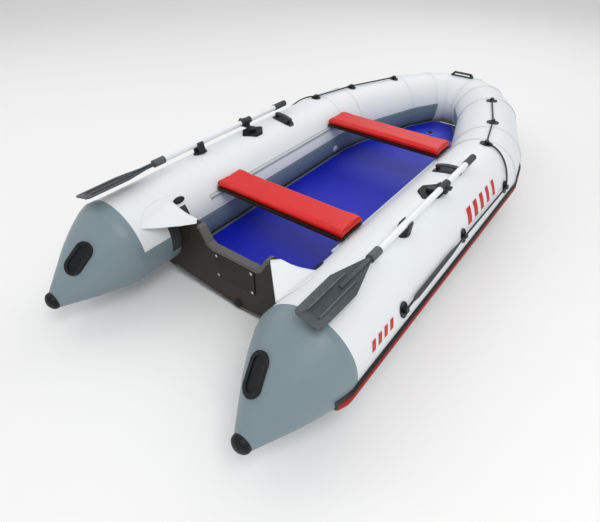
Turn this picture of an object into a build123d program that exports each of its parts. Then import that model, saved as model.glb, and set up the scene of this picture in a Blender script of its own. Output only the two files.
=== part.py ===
from build123d import *
import os
from math import sin, cos, tan, radians, degrees, atan2

# Inflatable motor dinghy. Millimetres, +Y to the bow, +X to starboard, +Z up.
# The origin is under the middle of the boat, on the level of the keel line.

# ---- hull sizes ----
length = 3600.0            # tail caps to the flat of the bow strake, its ribs reach 5 further
beam = 1650.0              # over the two side tubes
tube_radius = 225.0
bow_radius = 195.0
keel_depth = 70.0          # keel line below the bottoms of the side tubes
skin = 1.2                 # coated fabric of the tubes and the hull bottom
gap = 0.3                  # between a fitting and the tube it is glued to

tube_x = beam / 2 - tube_radius
tube_z = keel_depth + tube_radius
stern_y = -length / 2
strake_high = 20.0
bow_band = 14.0            # bow tube to the end of that length
bow_y = length / 2 - bow_band - bow_radius

# ---- tail cones ----
cone_length = 396.0
cap_length = 38.0
cone_drop = 0.65           # how far the cone's axis falls for each millimetre of lost radius
cone_steps = [(0.0, 1.0), (0.22, 0.895), (0.50, 0.68), (0.75, 0.44)]
cap_radius = 43.0
seam_y = stern_y + cone_length

# ---- transom ----
transom_y = stern_y + 648.0        # outer face
board_thick = 35.0
transom_low = 1.8                  # lowest point of the board over the keel line
transom_top = 427.0
cutout_floor = 332.0
cutout_half = 150.0
shoulder_half = 225.0
flange_thick = 3.0
flange_wide = 150.0
profile_thick = 3.0
profile_deep = 18.0
pad_half = 128.0
pad_low = 160.0
pad_high = 312.0
pad_thick = 6.0
pad_bolt_x = 112.0
pad_bolt_z = [176.0, 296.0]
pad_bolt_radius = 4.0
pad_head_radius = 8.0
pad_head = 3.4
drain_z = 36.0
drain_radius = 26.0
drain_bore = 14.0

# ---- floor ----
deck_low = 100.0
deck_thick = 70.0
deck_skin = 1.5
deck_edge = 178.0                  # deck edge to the tube's axis, in plan
deck_round = 32.0
deck_front = 1400.0
deck_front_half = 100.0
keel_radius = 44.0
keel_aft = transom_y + board_thick + 25.0
keel_front = 980.0
keel_rise = 14.0
keel_front_radius = 27.0

# ---- benches ----
seat_wide = 204.0
board_half = 403.0
bench_thick = 12.0
bench_z = 424.0                    # underside of the bench boards
cushion_half = 414.0
cushion_thick = 40.0
cushion_over = 8.0
seat_y = {"rear": stern_y + 1055.0, "front": stern_y + 2122.0}
rail_angle = -63.0
rail_y = (stern_y + 900.0, stern_y + 2238.0)
rail_base = 32.0
rail_base_thick = 2.5
rail_neck = 5.0
rail_bulb = 11.0
rail_high = 9.0
slide_gap = 0.4
slider_long = 60.0

# ---- oars ----
lock_y = stern_y + 1475.0
lock_x = 592.0
oar_x = 650.0
oar_z = 572.0
shaft_radius = 16.0
shaft_wall = 1.5
collar_radius = 20.0
collar_long = 84.0
thole_radius = 4.0
run_gap = 0.06
swivel_pin_radius = 8.0
cheek_gap = 1.0
cheek_thick = 5.0
grip_end_y = stern_y + 1868.0
grip_long = 112.0
grip_radius = 19.0
blade_tip_y = stern_y + 340.0
blade_long = 430.0
blade_half = 62.0
blade_roll = 14.0
neck_long = 70.0
neck_radius = 20.0
holder_y = stern_y + 1080.0

# ---- fittings ----
handle_y = stern_y + 1745.0
handle_angle = -9.0
handle_gap = 22.0          # skin to the underside of a carry handle's bar
handle_bar = 10.0
handle_wide = 26.0
pad_half_long = 42.0
bow_handle_half = 75.0
cone_handle_share = 0.58
cone_handle_angle = -25.0
lug_y = transom_y + 74.0
rope_radius = 5.0
rope_clear = 0.3
rope_lift = 13.0
valve_radius = 24.0
valve_flange = 3.0
valve_collar = 15.0
valve_bore = 10.0
collar_high = 9.0
poppet_travel = 3.0
cap_wall = 4.0

# centre line of the starboard tube: x, y, radius at each mitre
chain = [
    (tube_x, seam_y, tube_radius),
    (tube_x, bow_y - 1132.0, tube_radius),
    (tube_x - 40.0, bow_y - 912.0, tube_radius - 2.0),
    (tube_x - 225.0, bow_y - 362.0, tube_radius - 15.0),
    (tube_x - 375.0, bow_y - 102.0, bow_radius + 4.0),
    (tube_x - 505.0, bow_y, bow_radius),
]
chain += [(-x, y, r) for x, y, r in reversed(chain)]
SHOULDER, BOW = 1, 4       # chain indices where the shoulder and the bow begin
LAST = len(chain) - 1

os.makedirs("parts", exist_ok=True)


def save(part, label):
    part.label = label
    export_step(part, f"parts/{label}.step")


def run_angle(i):
    """Heading of run i of the chain: 0 looks to the bow, 90 degrees to port."""
    (ax, ay, _), (bx, by, _) = chain[i], chain[i + 1]
    return atan2(ax - bx, by - ay)


def mitre(i):
    """Heading of the mitre's normal at chain point i, and half the turn there."""
    before = run_angle(max(i - 1, 0))
    after = run_angle(min(i, LAST - 1))
    return (before + after) / 2, (after - before) / 2


def mitre_plane(i):
    """Plane of the joint at chain point i, with its X pointing outboard."""
    x, y, _ = chain[i]
    turn, _ = mitre(i)
    return Plane(origin=(x, y, tube_z), x_dir=(cos(turn), sin(turn), 0),
                 z_dir=(-sin(turn), cos(turn), 0))


def tube_loft(first, last, shrink):
    """Mitred tube over chain points first to last, its radius less by shrink."""
    with BuildPart() as tube:
        for i in range(first, last + 1):
            half = mitre(i)[1]
            with BuildSketch(mitre_plane(i)):
                Ellipse((chain[i][2] - shrink) / cos(half), chain[i][2] - shrink)
        loft(ruled=True)
    return tube.part


def tube_skin(first, last):
    outer = tube_loft(first, last, 0)
    inner = tube_loft(first, last, skin)
    return outer - inner


def on_chain(y):
    """Centre x, radius and heading of the starboard tube at y."""
    for i in range(SHOULDER + 4):
        (ax, ay, ar), (bx, by, br) = chain[i], chain[i + 1]
        if y <= by or i == BOW:
            t = (y - ay) / (by - ay)
            return ax + t * (bx - ax), ar + t * (br - ar), run_angle(i)


def tube_plane(y, angle, lift=0.0, side=1):
    """Plane on the tube's skin: X runs forward, Z points out of the tube.

    The angle is measured from the top of the tube, positive outboard.
    """
    x, r, head = on_chain(y)
    a = radians(angle)
    out = (cos(head) * sin(a), sin(head) * sin(a), cos(a))
    along = (-sin(head), cos(head), 0)
    place = (x + (r + lift) * out[0], y + (r + lift) * out[1], tube_z + (r + lift) * out[2])
    return Plane(origin=(side * place[0], place[1], place[2]),
                 x_dir=(side * along[0], along[1], along[2]),
                 z_dir=(side * out[0], out[1], out[2]))


def both(part):
    """The part with its mirror image on the other side, as one node."""
    return Compound(children=[part, part.mirror(Plane.YZ)])


def cone_station(share, fraction):
    """Centre and radius of the tail cone at a share of its length from the seam."""
    r = tube_radius * fraction
    y = seam_y - share * (cone_length - cap_length)
    return y, tube_z - (tube_radius - r) * cone_drop, r


def cone_loft(shrink):
    steps = cone_steps + [(1.0, cap_radius / tube_radius)]
    with BuildPart() as cone:
        for share, fraction in steps:
            y, z, r = cone_station(share, fraction)
            with BuildSketch(Plane(origin=(tube_x, y, z), x_dir=(1, 0, 0), z_dir=(0, -1, 0))):
                Circle(r - shrink)
        loft(ruled=True)
    return cone.part


# ---- tubes ----
side_tube = tube_skin(0, SHOULDER)
shoulder_tube = tube_skin(SHOULDER, BOW)
tail_cone = cone_loft(0) - cone_loft(skin)
with BuildPart() as bow_tube:
    add(tube_skin(BOW, LAST - BOW))
save(bow_tube.part, "bow_tube")
for side, name in ((1, "starboard"), (-1, "port")):
    for piece, label in ((side_tube, "side_tube"), (shoulder_tube, "shoulder_tube"),
                         (tail_cone, "tail_cone")):
        with BuildPart() as shell:
            add(piece if side == 1 else piece.mirror(Plane.YZ))
        save(shell.part, f"{name}_{label}")

# discs that part the side chambers from the bow chamber
with BuildPart() as bulkhead:
    with BuildSketch(mitre_plane(SHOULDER).offset(-6)):
        Circle(tube_radius - skin - gap)
    extrude(amount=skin)
save(both(bulkhead.part), "chamber_bulkheads")

# rubber caps on the cone tips
tip_y, tip_z, _ = cone_station(1.0, cap_radius / tube_radius)
with BuildPart() as cone_cap:
    with BuildSketch(Plane(origin=(tube_x, tip_y, tip_z), x_dir=(1, 0, 0), z_dir=(0, 0, 1))):
        with BuildLine():
            Line((0, 0), (cap_radius, 0))
            Line((cap_radius, 0), (cap_radius, -6))
            Spline((cap_radius, -6), (cap_radius * 0.72, -28), (0, -cap_length),
                   tangents=[(0, -1), (-1, 0)])
            Line((0, -cap_length), (0, 0))
        make_face()
    revolve(axis=Axis((tube_x, tip_y, tip_z), (0, 1, 0)))
save(both(cone_cap.part), "cone_caps")

# ---- rubbing strake round the outside of the tubes ----
strake_low_angle, strake_high_angle = 119.0, 93.0
ribs = 4


def strake_profile():
    """Angle and height over the skin, from the upper edge down and back."""
    low, high, foot = strake_low_angle, strake_high_angle, 5.0
    step = (low - high) / (2 * ribs + 1)
    pts = [(high, gap), (high, foot)]
    for k in range(ribs):
        a = high + step * (2 * k + 1)
        pts += [(a, foot), (a + step * 0.2, strake_high), (a + step * 0.8, strake_high),
                (a + step, foot)]
    pts += [(low, foot), (low, gap)]
    pts += [(low - (low - high) * k / 9, gap) for k in range(1, 9)]
    return pts


def strake_section(plane, r, half_turn):
    # the section planes' Y points down
    pts = [((r + h) * sin(radians(a)) / cos(half_turn), -(r + h) * cos(radians(a)))
           for a, h in strake_profile()]
    with BuildSketch(plane) as section:
        with BuildLine():
            Polyline(*pts, close=True)
        make_face()
    return section.sketch


strake_end_y, strake_end_z, strake_end_r = cone_station(*cone_steps[1])
sections = [strake_section(Plane(origin=(tube_x, strake_end_y, strake_end_z),
                                 x_dir=(1, 0, 0), z_dir=(0, 1, 0)), strake_end_r, 0)]
for i in range(len(chain)):
    sections.append(strake_section(mitre_plane(i), chain[i][2], mitre(i)[1]))
sections.append(strake_section(Plane(origin=(-tube_x, strake_end_y, strake_end_z),
                                     x_dir=(-1, 0, 0), z_dir=(0, -1, 0)), strake_end_r, 0))
with BuildPart() as strake:
    loft(sections=sections, ruled=True)
save(strake.part, "rubbing_strake")

# ---- hull bottom: a shallow vee from tube to tube, and the keel tube over it ----
bottom_steps = [(transom_y, 0.0), (chain[SHOULDER][1], 4.0), (bow_y - 912.0, 10.0),
                (bow_y - 362.0, 48.0), (bow_y - 102.0, 86.0)]
with BuildPart() as hull_bottom:
    for y, keel_z in bottom_steps:
        x, r, _ = on_chain(max(y, seam_y + 1))
        edge_z = tube_z - r - 2 * gap - skin
        with BuildSketch(Plane(origin=(0, y, 0), x_dir=(1, 0, 0), z_dir=(0, -1, 0))):
            with BuildLine():
                Polyline((-x, edge_z), (0, keel_z), (x, edge_z), (x, edge_z + skin),
                         (0, keel_z + skin), (-x, edge_z + skin), close=True)
            make_face()
    loft(ruled=True)
save(hull_bottom.part, "hull_bottom")

def keel_loft(inset):
    with BuildPart() as tube:
        for y, rise, r in ((keel_aft + inset, 0, keel_radius),
                           (chain[SHOULDER][1], 4, keel_radius),
                           (keel_front - inset, keel_rise, keel_front_radius)):
            with BuildSketch(Plane(origin=(0, y, keel_radius + 4 + rise), x_dir=(1, 0, 0),
                                   z_dir=(0, -1, 0))):
                Circle(r - inset)
        loft(ruled=True)
    return tube.part


with BuildPart() as keel_tube:
    add(keel_loft(0) - keel_loft(skin))
save(keel_tube.part, "keel_tube")

# ---- inflated deck ----
deck_points = [(tube_x - deck_edge, transom_y + board_thick + 6)]
for i in (1, 2, 3):
    x, y, r = chain[i]
    turn, half = mitre(i)
    edge = deck_edge * r / tube_radius / cos(half)
    deck_points.append((x - edge * cos(turn), y - edge * sin(turn)))
deck_points.append((deck_front_half, deck_front))
deck_points += [(-x, y) for x, y in reversed(deck_points)]


def deck_solid(inset):
    with BuildPart() as panel:
        with BuildSketch(Plane.XY.offset(deck_low + inset)):
            with BuildLine():
                Polyline(*deck_points, close=True)
            make_face()
            offset(amount=-inset, kind=Kind.INTERSECTION)
        extrude(amount=deck_thick - 2 * inset)
        fillet(panel.faces().sort_by(Axis.Z)[-1].edges(), deck_round - inset)
        fillet(panel.faces().sort_by(Axis.Z)[0].edges(), deck_round - inset)
    return panel.part


with BuildPart() as deck:
    add(deck_solid(0) - deck_solid(deck_skin))
save(deck.part, "deck")

# ---- transom ----
transom_plane = Plane(origin=(0, transom_y, 0), x_dir=(1, 0, 0), z_dir=(0, -1, 0))
board_tube_gap = tube_radius + flange_thick + 2 * gap
bottom_slope = (keel_depth - 2 * gap - skin) / tube_x


def bottom_line(x, up=0.0):
    return transom_low + skin + abs(x) * bottom_slope + up


top_points = [(tube_x, transom_top), (shoulder_half, transom_top),
              (shoulder_half - 22, transom_top - 8), (cutout_half + 12, cutout_floor + 14),
              (cutout_half - 12, cutout_floor)]
top_points += [(-x, z) for x, z in reversed(top_points)]
with BuildSketch(transom_plane) as board_outline:
    with BuildLine():
        Polyline(*top_points, (-tube_x, bottom_line(tube_x)), (0, bottom_line(0)),
                 (tube_x, bottom_line(tube_x)), close=True)
    make_face()
    with Locations((tube_x, tube_z), (-tube_x, tube_z)):
        Circle(board_tube_gap, mode=Mode.SUBTRACT)
board_face = board_outline.sketch.faces().sort_by(SortBy.AREA)[-1]

with BuildPart() as transom_board:
    add(extrude(board_face, amount=-board_thick))
    with Locations(Plane(origin=(0, transom_y, drain_z), x_dir=(1, 0, 0), z_dir=(0, -1, 0))):
        Hole(drain_bore + gap)
    for z in pad_bolt_z:
        with Locations(transom_plane.shift_origin((pad_bolt_x, transom_y, z)),
                       transom_plane.shift_origin((-pad_bolt_x, transom_y, z))):
            Hole(pad_bolt_radius + 0.2)
save(transom_board.part, "transom_board")

with BuildPart() as top_profile:
    with BuildSketch(transom_plane.offset(profile_thick)):
        with BuildLine():
            Polyline(*top_points[1:-1])
        trace(line_width=2 * profile_deep)
        with BuildLine():
            Polyline(*[(x, z + profile_thick) for x, z in top_points],
                     (-tube_x, 0), (tube_x, 0), close=True)
        make_face(mode=Mode.INTERSECT)
    extrude(amount=-(board_thick + 2 * profile_thick))
    with BuildSketch(transom_plane):
        with BuildLine():
            Polyline(*top_points, (-tube_x, 0), (tube_x, 0), close=True)
        make_face()
    extrude(amount=-board_thick, mode=Mode.SUBTRACT)
save(top_profile.part, "transom_top_profile")

with BuildPart() as bottom_strip:
    with BuildSketch(transom_plane):
        with BuildLine():
            strip_x = tube_x - board_tube_gap + 90
            Polyline((-strip_x, bottom_line(strip_x, 2)), (0, bottom_line(0, 2)),
                     (strip_x, bottom_line(strip_x, 2)), (strip_x, bottom_line(strip_x, 18)),
                     (0, bottom_line(0, 18)), (-strip_x, bottom_line(strip_x, 18)), close=True)
        make_face()
        with Locations((0, drain_z)):
            Circle(drain_radius + gap, mode=Mode.SUBTRACT)
        with Locations((tube_x, tube_z), (-tube_x, tube_z)):
            Circle(board_tube_gap, mode=Mode.SUBTRACT)
    extrude(amount=profile_thick)
save(bottom_strip.part, "transom_bottom_strip")

# flanges glued round the inboard side of the tubes, which the board's ends sit in
with BuildPart() as flange:
    with BuildSketch(transom_plane.offset((flange_wide - board_thick) / 2)):
        with Locations((tube_x, tube_z)):
            Circle(tube_radius + gap + flange_thick)
            Circle(tube_radius + gap, mode=Mode.SUBTRACT)
        with Locations((tube_x, transom_top - 100)):
            Rectangle(2 * tube_radius + 20, 200, align=(Align.MAX, Align.CENTER),
                      mode=Mode.INTERSECT)
    extrude(amount=-flange_wide)
save(both(flange.part), "transom_flanges")

# fabric webs from the board's top corners out to the tubes
web_aft = tube_plane(transom_y - 181, -54, 1.5).origin
web_fore = tube_plane(transom_y + 26, -42, 1.5).origin
web_tip = Vector(shoulder_half + 6, transom_y - 5, transom_top + profile_thick + 5)
web_normal = (web_aft - web_tip).cross(web_fore - web_tip).normalized()
with BuildPart() as web:
    with BuildSketch(Plane(origin=web_tip, x_dir=(web_aft - web_tip), z_dir=web_normal)):
        along = (web_aft - web_tip).length
        unit = (web_aft - web_tip).normalized()
        side_dir = web_normal.cross(unit)
        fore = (web_fore - web_tip)
        with BuildLine():
            Polyline((0, 0), (along, 0), (fore.dot(unit), fore.dot(side_dir)), close=True)
        make_face()
    extrude(amount=2.0)
save(both(web.part), "transom_gussets")

pad_bolt_places = [(x, z) for x in (pad_bolt_x, -pad_bolt_x) for z in pad_bolt_z]
with BuildPart() as pads:
    for depth, side in ((0, 1), (board_thick, -1)):
        with BuildSketch(transom_plane.offset(-depth)):
            with Locations((0, (pad_low + pad_high) / 2)):
                RectangleRounded(2 * pad_half, pad_high - pad_low, 10)
            with Locations(pad_bolt_places):
                Circle(pad_bolt_radius + 0.2, mode=Mode.SUBTRACT)
        extrude(amount=side * pad_thick)
        with BuildSketch(transom_plane.offset(-depth + side * pad_thick)):
            with Locations(pad_bolt_places):
                Circle(pad_head_radius + gap)
        extrude(amount=-side * (pad_head + gap), mode=Mode.SUBTRACT)
save(pads.part, "motor_pads")

bolt_long = board_thick + 2 * pad_thick
with BuildPart() as pad_bolts:
    for x, z in pad_bolt_places:
        face = transom_plane.shift_origin((x, transom_y, z)).offset(pad_thick - gap)
        with BuildSketch(face):
            Circle(pad_bolt_radius)
        extrude(amount=-(bolt_long - 2 * gap))
        with BuildSketch(face):
            Circle(pad_head_radius)
        extrude(amount=-pad_head + gap)
        with BuildSketch(face.offset(-(bolt_long - 2 * gap))):
            RegularPolygon(pad_head_radius - 0.5, 6)
        extrude(amount=pad_head - gap)
save(pad_bolts.part, "pad_bolts")

drain_plane = transom_plane.shift_origin((0, transom_y, drain_z))
with BuildPart() as drain_body:
    with BuildSketch(drain_plane):
        Circle(drain_radius)
    extrude(amount=5)
    with BuildSketch(drain_plane):
        Circle(drain_bore)
    extrude(amount=-(board_thick + 8))
    with BuildSketch(drain_plane.offset(5)):
        Circle(drain_bore - 3)
    extrude(amount=-(board_thick + 20), mode=Mode.SUBTRACT)
save(drain_body.part, "drain_body")
with BuildPart() as drain_plug:
    with BuildSketch(drain_plane.offset(5 + gap)):
        Circle(drain_radius - 5)
    extrude(amount=5)
    chamfer(drain_plug.faces().sort_by(Axis.Y)[0].edges(), 1.5)
    with BuildSketch(drain_plane.offset(5 + gap)):
        Circle(drain_bore - 3 - run_gap)
    extrude(amount=-20)
    with BuildSketch(drain_plane.offset(10 + gap)):
        Rectangle(26, 5)
    extrude(amount=5)
save(drain_plug.part, "drain_plug")

# ---- bench rails, benches, cushions and sliders ----
rail_frame = tube_plane(rail_y[0], rail_angle)
rail_plane = Plane(origin=rail_frame.origin, x_dir=rail_frame.z_dir, z_dir=(0, 1, 0))


def rail_sketch(grow):
    """Rail section: X out of the tube. A flat base, a neck and a round bulb."""
    with BuildSketch(rail_plane) as section:
        with Locations((gap + 0.4 + rail_base_thick / 2, 0)):
            Rectangle(rail_base_thick + 2 * grow, rail_base + 2 * grow)
        with Locations((rail_high / 2 + 1, 0)):
            Rectangle(rail_high, rail_neck + 2 * grow)
        with Locations((rail_high + 2, 0)):
            Circle(rail_bulb / 2 + grow)
    return section.sketch


with BuildPart() as rail:
    add(extrude(rail_sketch(0), amount=rail_y[1] - rail_y[0]))
save(both(rail.part), "bench_rails")

for place, y in seat_y.items():
    with BuildPart() as bench:
        with BuildSketch(Plane.XY.offset(bench_z)):
            with Locations((0, y)):
                RectangleRounded(2 * board_half, seat_wide, 18)
        extrude(amount=bench_thick)
    save(bench.part, f"{place}_bench_board")
    with BuildPart() as cushion:
        with BuildSketch(Plane.XY.offset(bench_z + bench_thick)):
            with Locations((0, y)):
                RectangleRounded(2 * cushion_half, seat_wide + cushion_over, 14)
        extrude(amount=cushion_thick)
        fillet(cushion.faces().sort_by(Axis.Z)[-1].edges(), 9)
    save(cushion.part, f"{place}_cushion")
    # hooks under each end of the bench, which run on the rails' bulbs
    hook_plane = Plane(origin=(0, y - slider_long / 2, 0), x_dir=(-1, 0, 0), z_dir=(0, 1, 0))
    with BuildPart() as slider:
        with BuildSketch(hook_plane):
            with BuildLine():
                Polyline((-board_half + 2, bench_z), (-board_half + 46, bench_z),
                         (-board_half + 46, bench_z - 10), (-368, 384), (-384, 380),
                         (-board_half + 2, bench_z - 12), close=True)
            make_face()
            with Locations((-tube_x, tube_z)):
                Circle(tube_radius + gap + rail_base_thick + 1.0, mode=Mode.SUBTRACT)
        extrude(amount=slider_long)
        cut = extrude(rail_sketch(slide_gap), amount=rail_y[1] - rail_y[0])
        add(cut, mode=Mode.SUBTRACT)
    hook = slider.part.solids().sort_by(SortBy.VOLUME)[-1]
    save(both(hook), f"{place}_bench_sliders")

# ---- valves: a glued body, a sprung poppet in its bore and a cap over both ----
valve_planes = {
    "starboard": tube_plane(stern_y + 2107, -106, gap),
    "port": tube_plane(stern_y + 2107, -106, gap, -1),
    "bow": tube_plane(bow_y - 640, -106, 3 * gap),
    "floor": Plane(origin=(0, stern_y + 2905.0, deck_low + deck_thick + gap)),
}
with BuildPart() as valve_bodies:
    for plane in valve_planes.values():
        with BuildSketch(plane):
            Circle(valve_radius)
        extrude(amount=valve_flange)
        with BuildSketch(plane):
            Circle(valve_collar)
        extrude(amount=collar_high)
        with BuildSketch(plane.offset(1)):
            Circle(valve_bore)
        extrude(amount=collar_high, mode=Mode.SUBTRACT)
save(valve_bodies.part, "valve_bodies")

poppet_foot = 1 + poppet_travel + gap
for name, plane in valve_planes.items():
    with BuildPart() as poppet:
        with BuildSketch(plane.offset(poppet_foot)):
            Circle(valve_bore - run_gap)
        extrude(amount=collar_high - poppet_foot - 0.5)
        chamfer(poppet.faces().sort_by(Axis(plane.origin, plane.z_dir))[-1].edges(), 0.8)
    save(poppet.part, f"{name}_valve_poppet")
    with BuildPart() as cap:
        with BuildSketch(plane.offset(valve_flange + gap)):
            Circle(valve_collar + 0.5 + cap_wall)
            with PolarLocations(valve_collar + 0.5 + cap_wall, 3):
                Circle(4)
        extrude(amount=collar_high - valve_flange + cap_wall)
        chamfer(cap.faces().sort_by(Axis(plane.origin, plane.z_dir))[-1].edges(), 1.2)
        with BuildSketch(plane.offset(valve_flange + gap)):
            Circle(valve_collar + 0.5)
        extrude(amount=collar_high - valve_flange, mode=Mode.SUBTRACT)
    save(cap.part, f"{name}_valve_cap")

# ---- oarlocks and oars, modelled to starboard and mirrored to port ----
tube_top = tube_z + tube_radius
boss_radius, boss_top = 24.0, tube_top + 20
shaft_axis = Plane(origin=(oar_x, 0, oar_z), x_dir=(1, 0, 0), z_dir=(0, 1, 0))
thole_plane = Plane(origin=(oar_x, lock_y, oar_z), x_dir=(0, 1, 0), z_dir=(1, 0, 0))


def one_side(part, label):
    """Writes the starboard piece and its mirror image as two nodes."""
    for name in ("starboard", "port"):
        with BuildPart() as piece:
            add(part if name == "starboard" else part.mirror(Plane.YZ))
        save(piece.part, f"{name}_{label}")


lock_outline = [(-58, -28), (0, -92), (58, -28), (58, 28), (0, 92), (-58, 28)]
with BuildPart() as lock_base:
    with BuildSketch(Plane.XY.offset(tube_top - 12)):
        with BuildLine():
            Polyline(*[(lock_x + x, lock_y + y) for x, y in lock_outline], close=True)
        make_face()
    extrude(amount=18)
    fillet(lock_base.edges().filter_by(Axis.Z), 12)
    fillet(lock_base.faces().sort_by(Axis.Z)[-1].edges(), 3)
    with BuildSketch(Plane.XY.offset(tube_top)):
        with Locations((lock_x, lock_y)):
            Circle(boss_radius)
    extrude(amount=boss_top - tube_top)
    with BuildSketch(Plane(origin=(tube_x, lock_y - 150, tube_z), x_dir=(1, 0, 0),
                           z_dir=(0, -1, 0)).offset(-300)):
        Circle(tube_radius + gap)
    extrude(amount=300, mode=Mode.SUBTRACT)
    with BuildSketch(Plane.XY.offset(boss_top)):
        with Locations((lock_x, lock_y)):
            Circle(swivel_pin_radius)
    extrude(amount=-16, mode=Mode.SUBTRACT)
one_side(lock_base.part, "oarlock_base")

cheek_in = collar_radius + cheek_gap
cheek_out = cheek_in + cheek_thick
with BuildPart() as swivel:
    with BuildSketch(Plane.XY.offset(boss_top + gap)):
        with Locations((lock_x, lock_y)):
            Circle(swivel_pin_radius - run_gap)
    extrude(amount=-15)
    with BuildSketch(Plane.XY.offset(boss_top + gap)):
        with Locations((lock_x, lock_y)):
            Circle(boss_radius - 2)
        with Locations(((lock_x + oar_x - cheek_in) / 2, lock_y)):
            Rectangle(oar_x - cheek_in - lock_x, 30)
    extrude(amount=oar_z - collar_radius - 4.5 - boss_top)
    with BuildSketch(Plane.XZ.offset(-lock_y + 15)):
        with BuildLine():
            fork = [(cheek_out, boss_top + gap), (cheek_out, oar_z + 11), (cheek_in, oar_z + 11),
                    (cheek_in, oar_z - collar_radius - 4)]
            Polyline(*[(oar_x + x, z) for x, z in fork],
                     *[(oar_x - x, z) for x, z in reversed(fork)], close=True)
        make_face()
    extrude(amount=-30)
    with BuildSketch(thole_plane.offset(-40)):
        Circle(thole_radius + run_gap)
    extrude(amount=80, mode=Mode.SUBTRACT)
one_side(swivel.part, "oarlock_swivel")

with BuildPart() as thole:
    with BuildSketch(thole_plane.offset(-cheek_out - 1)):
        Circle(thole_radius)
    extrude(amount=2 * cheek_out + 2)
    with BuildSketch(thole_plane.offset(-cheek_out - 1)):
        Circle(8)
    extrude(amount=-5)
    with BuildSketch(thole_plane.offset(cheek_out + 1)):
        Circle(11)
        Rectangle(34, 9)
    extrude(amount=14)
one_side(thole.part, "thole_bolt")

with BuildPart() as collar:
    with BuildSketch(shaft_axis.offset(lock_y - collar_long / 2)):
        Circle(collar_radius)
        Circle(shaft_radius, mode=Mode.SUBTRACT)
    extrude(amount=collar_long)
    with BuildSketch(thole_plane.offset(-40)):
        Circle(thole_radius + run_gap)
    extrude(amount=80, mode=Mode.SUBTRACT)
one_side(collar.part, "oar_collar")

neck_y = blade_tip_y + blade_long
with BuildPart() as shaft:
    with BuildSketch(shaft_axis.offset(neck_y)):
        Circle(shaft_radius)
        Circle(shaft_radius - shaft_wall, mode=Mode.SUBTRACT)
    extrude(amount=grip_end_y - 6 - neck_y)
    with BuildSketch(thole_plane.offset(-40)):
        Circle(thole_radius + run_gap)
    extrude(amount=80, mode=Mode.SUBTRACT)
one_side(shaft.part, "oar_shaft")

with BuildPart() as grip:
    with BuildSketch(shaft_axis.offset(grip_end_y - grip_long)):
        Circle(grip_radius)
        Circle(shaft_radius, mode=Mode.SUBTRACT)
    extrude(amount=grip_long - 6)
    with BuildSketch(shaft_axis.offset(grip_end_y - 6)):
        Circle(grip_radius)
    extrude(amount=6)
    fillet(grip.faces().sort_by(Axis.Y)[-1].edges(), 4)
one_side(grip.part, "oar_grip")

blade_plane = Plane(origin=(oar_x, neck_y, oar_z), x_dir=(1, 0, 0), z_dir=(0, 0, 1)).rotated(
    (0, blade_roll, 0))
with BuildPart() as blade:
    with BuildSketch(blade_plane.offset(-3)):
        with BuildLine():
            Line((-11, -10), (11, -10))
            Spline((11, -10), (30, -80), (blade_half, -200))
            Polyline((blade_half, -200), (blade_half - 3, -blade_long + 12),
                     (blade_half - 16, -blade_long), (-blade_half + 16, -blade_long),
                     (-blade_half + 3, -blade_long + 12), (-blade_half, -200))
            Spline((-blade_half, -200), (-30, -80), (-11, -10))
        make_face()
    extrude(amount=6)
    with BuildSketch(blade_plane.offset(-9)):
        with Locations((0, -110)):
            Rectangle(16, 220)
        with Locations((26, -270), (-26, -270)):
            Rectangle(7, 240)
    extrude(amount=18)
    with BuildSketch(shaft_axis.offset(neck_y - 6)):
        Circle(neck_radius)
    extrude(amount=neck_long)
    with BuildSketch(shaft_axis.offset(neck_y)):
        Circle(shaft_radius)
    extrude(amount=neck_long, mode=Mode.SUBTRACT)
one_side(blade.part, "oar_blade")

# rubber ears on the tube that the stowed shafts press into
with BuildPart() as holder:
    x, r, _ = on_chain(holder_y)
    frame = tube_plane(holder_y, degrees(atan2(oar_x - x, oar_z - tube_z)))
    stem = Plane(origin=frame.origin, x_dir=(0, 1, 0), z_dir=frame.z_dir)
    rise = (Vector(oar_x, holder_y, oar_z) - frame.origin).length
    with BuildSketch(stem.offset(gap + 1)):
        Ellipse(44, 34)
    extrude(amount=5)
    for side in (1, -1):
        with BuildSketch(Plane(origin=frame.origin, x_dir=frame.z_dir.cross(Vector(0, 1, 0)),
                               z_dir=(0, 1, 0)).offset(-20)):
            with BuildLine():
                ear_in = side * (shaft_radius + 1)
                Polyline((ear_in, 3), (ear_in + side * 13, 3), (ear_in + side * 9, rise),
                         (ear_in + side * 4, rise + 9), (ear_in, rise + 9), close=True)
            make_face()
        extrude(amount=40)
save(both(holder.part), "oar_holders")


# ---- carry handles: a pad wrapped over the tube and an arched bar ----
def tube_sector(r_in, r_out, reach):
    """Annular sector of the tube's section, reaching to both sides of the handle."""
    a, b = radians(90 - handle_angle - reach), radians(90 - handle_angle + reach)
    m = (a + b) / 2
    corner = [(r * cos(t), r * sin(t)) for r, t in ((r_in, a), (r_out, a), (r_out, b), (r_in, b))]
    with BuildSketch() as sector:
        with BuildLine():
            Line(corner[0], corner[1])
            ThreePointArc(corner[1], (r_out * cos(m), r_out * sin(m)), corner[2])
            Line(corner[2], corner[3])
            ThreePointArc(corner[3], (r_in * cos(m), r_in * sin(m)), corner[0])
        make_face()
    return sector.sketch


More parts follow.
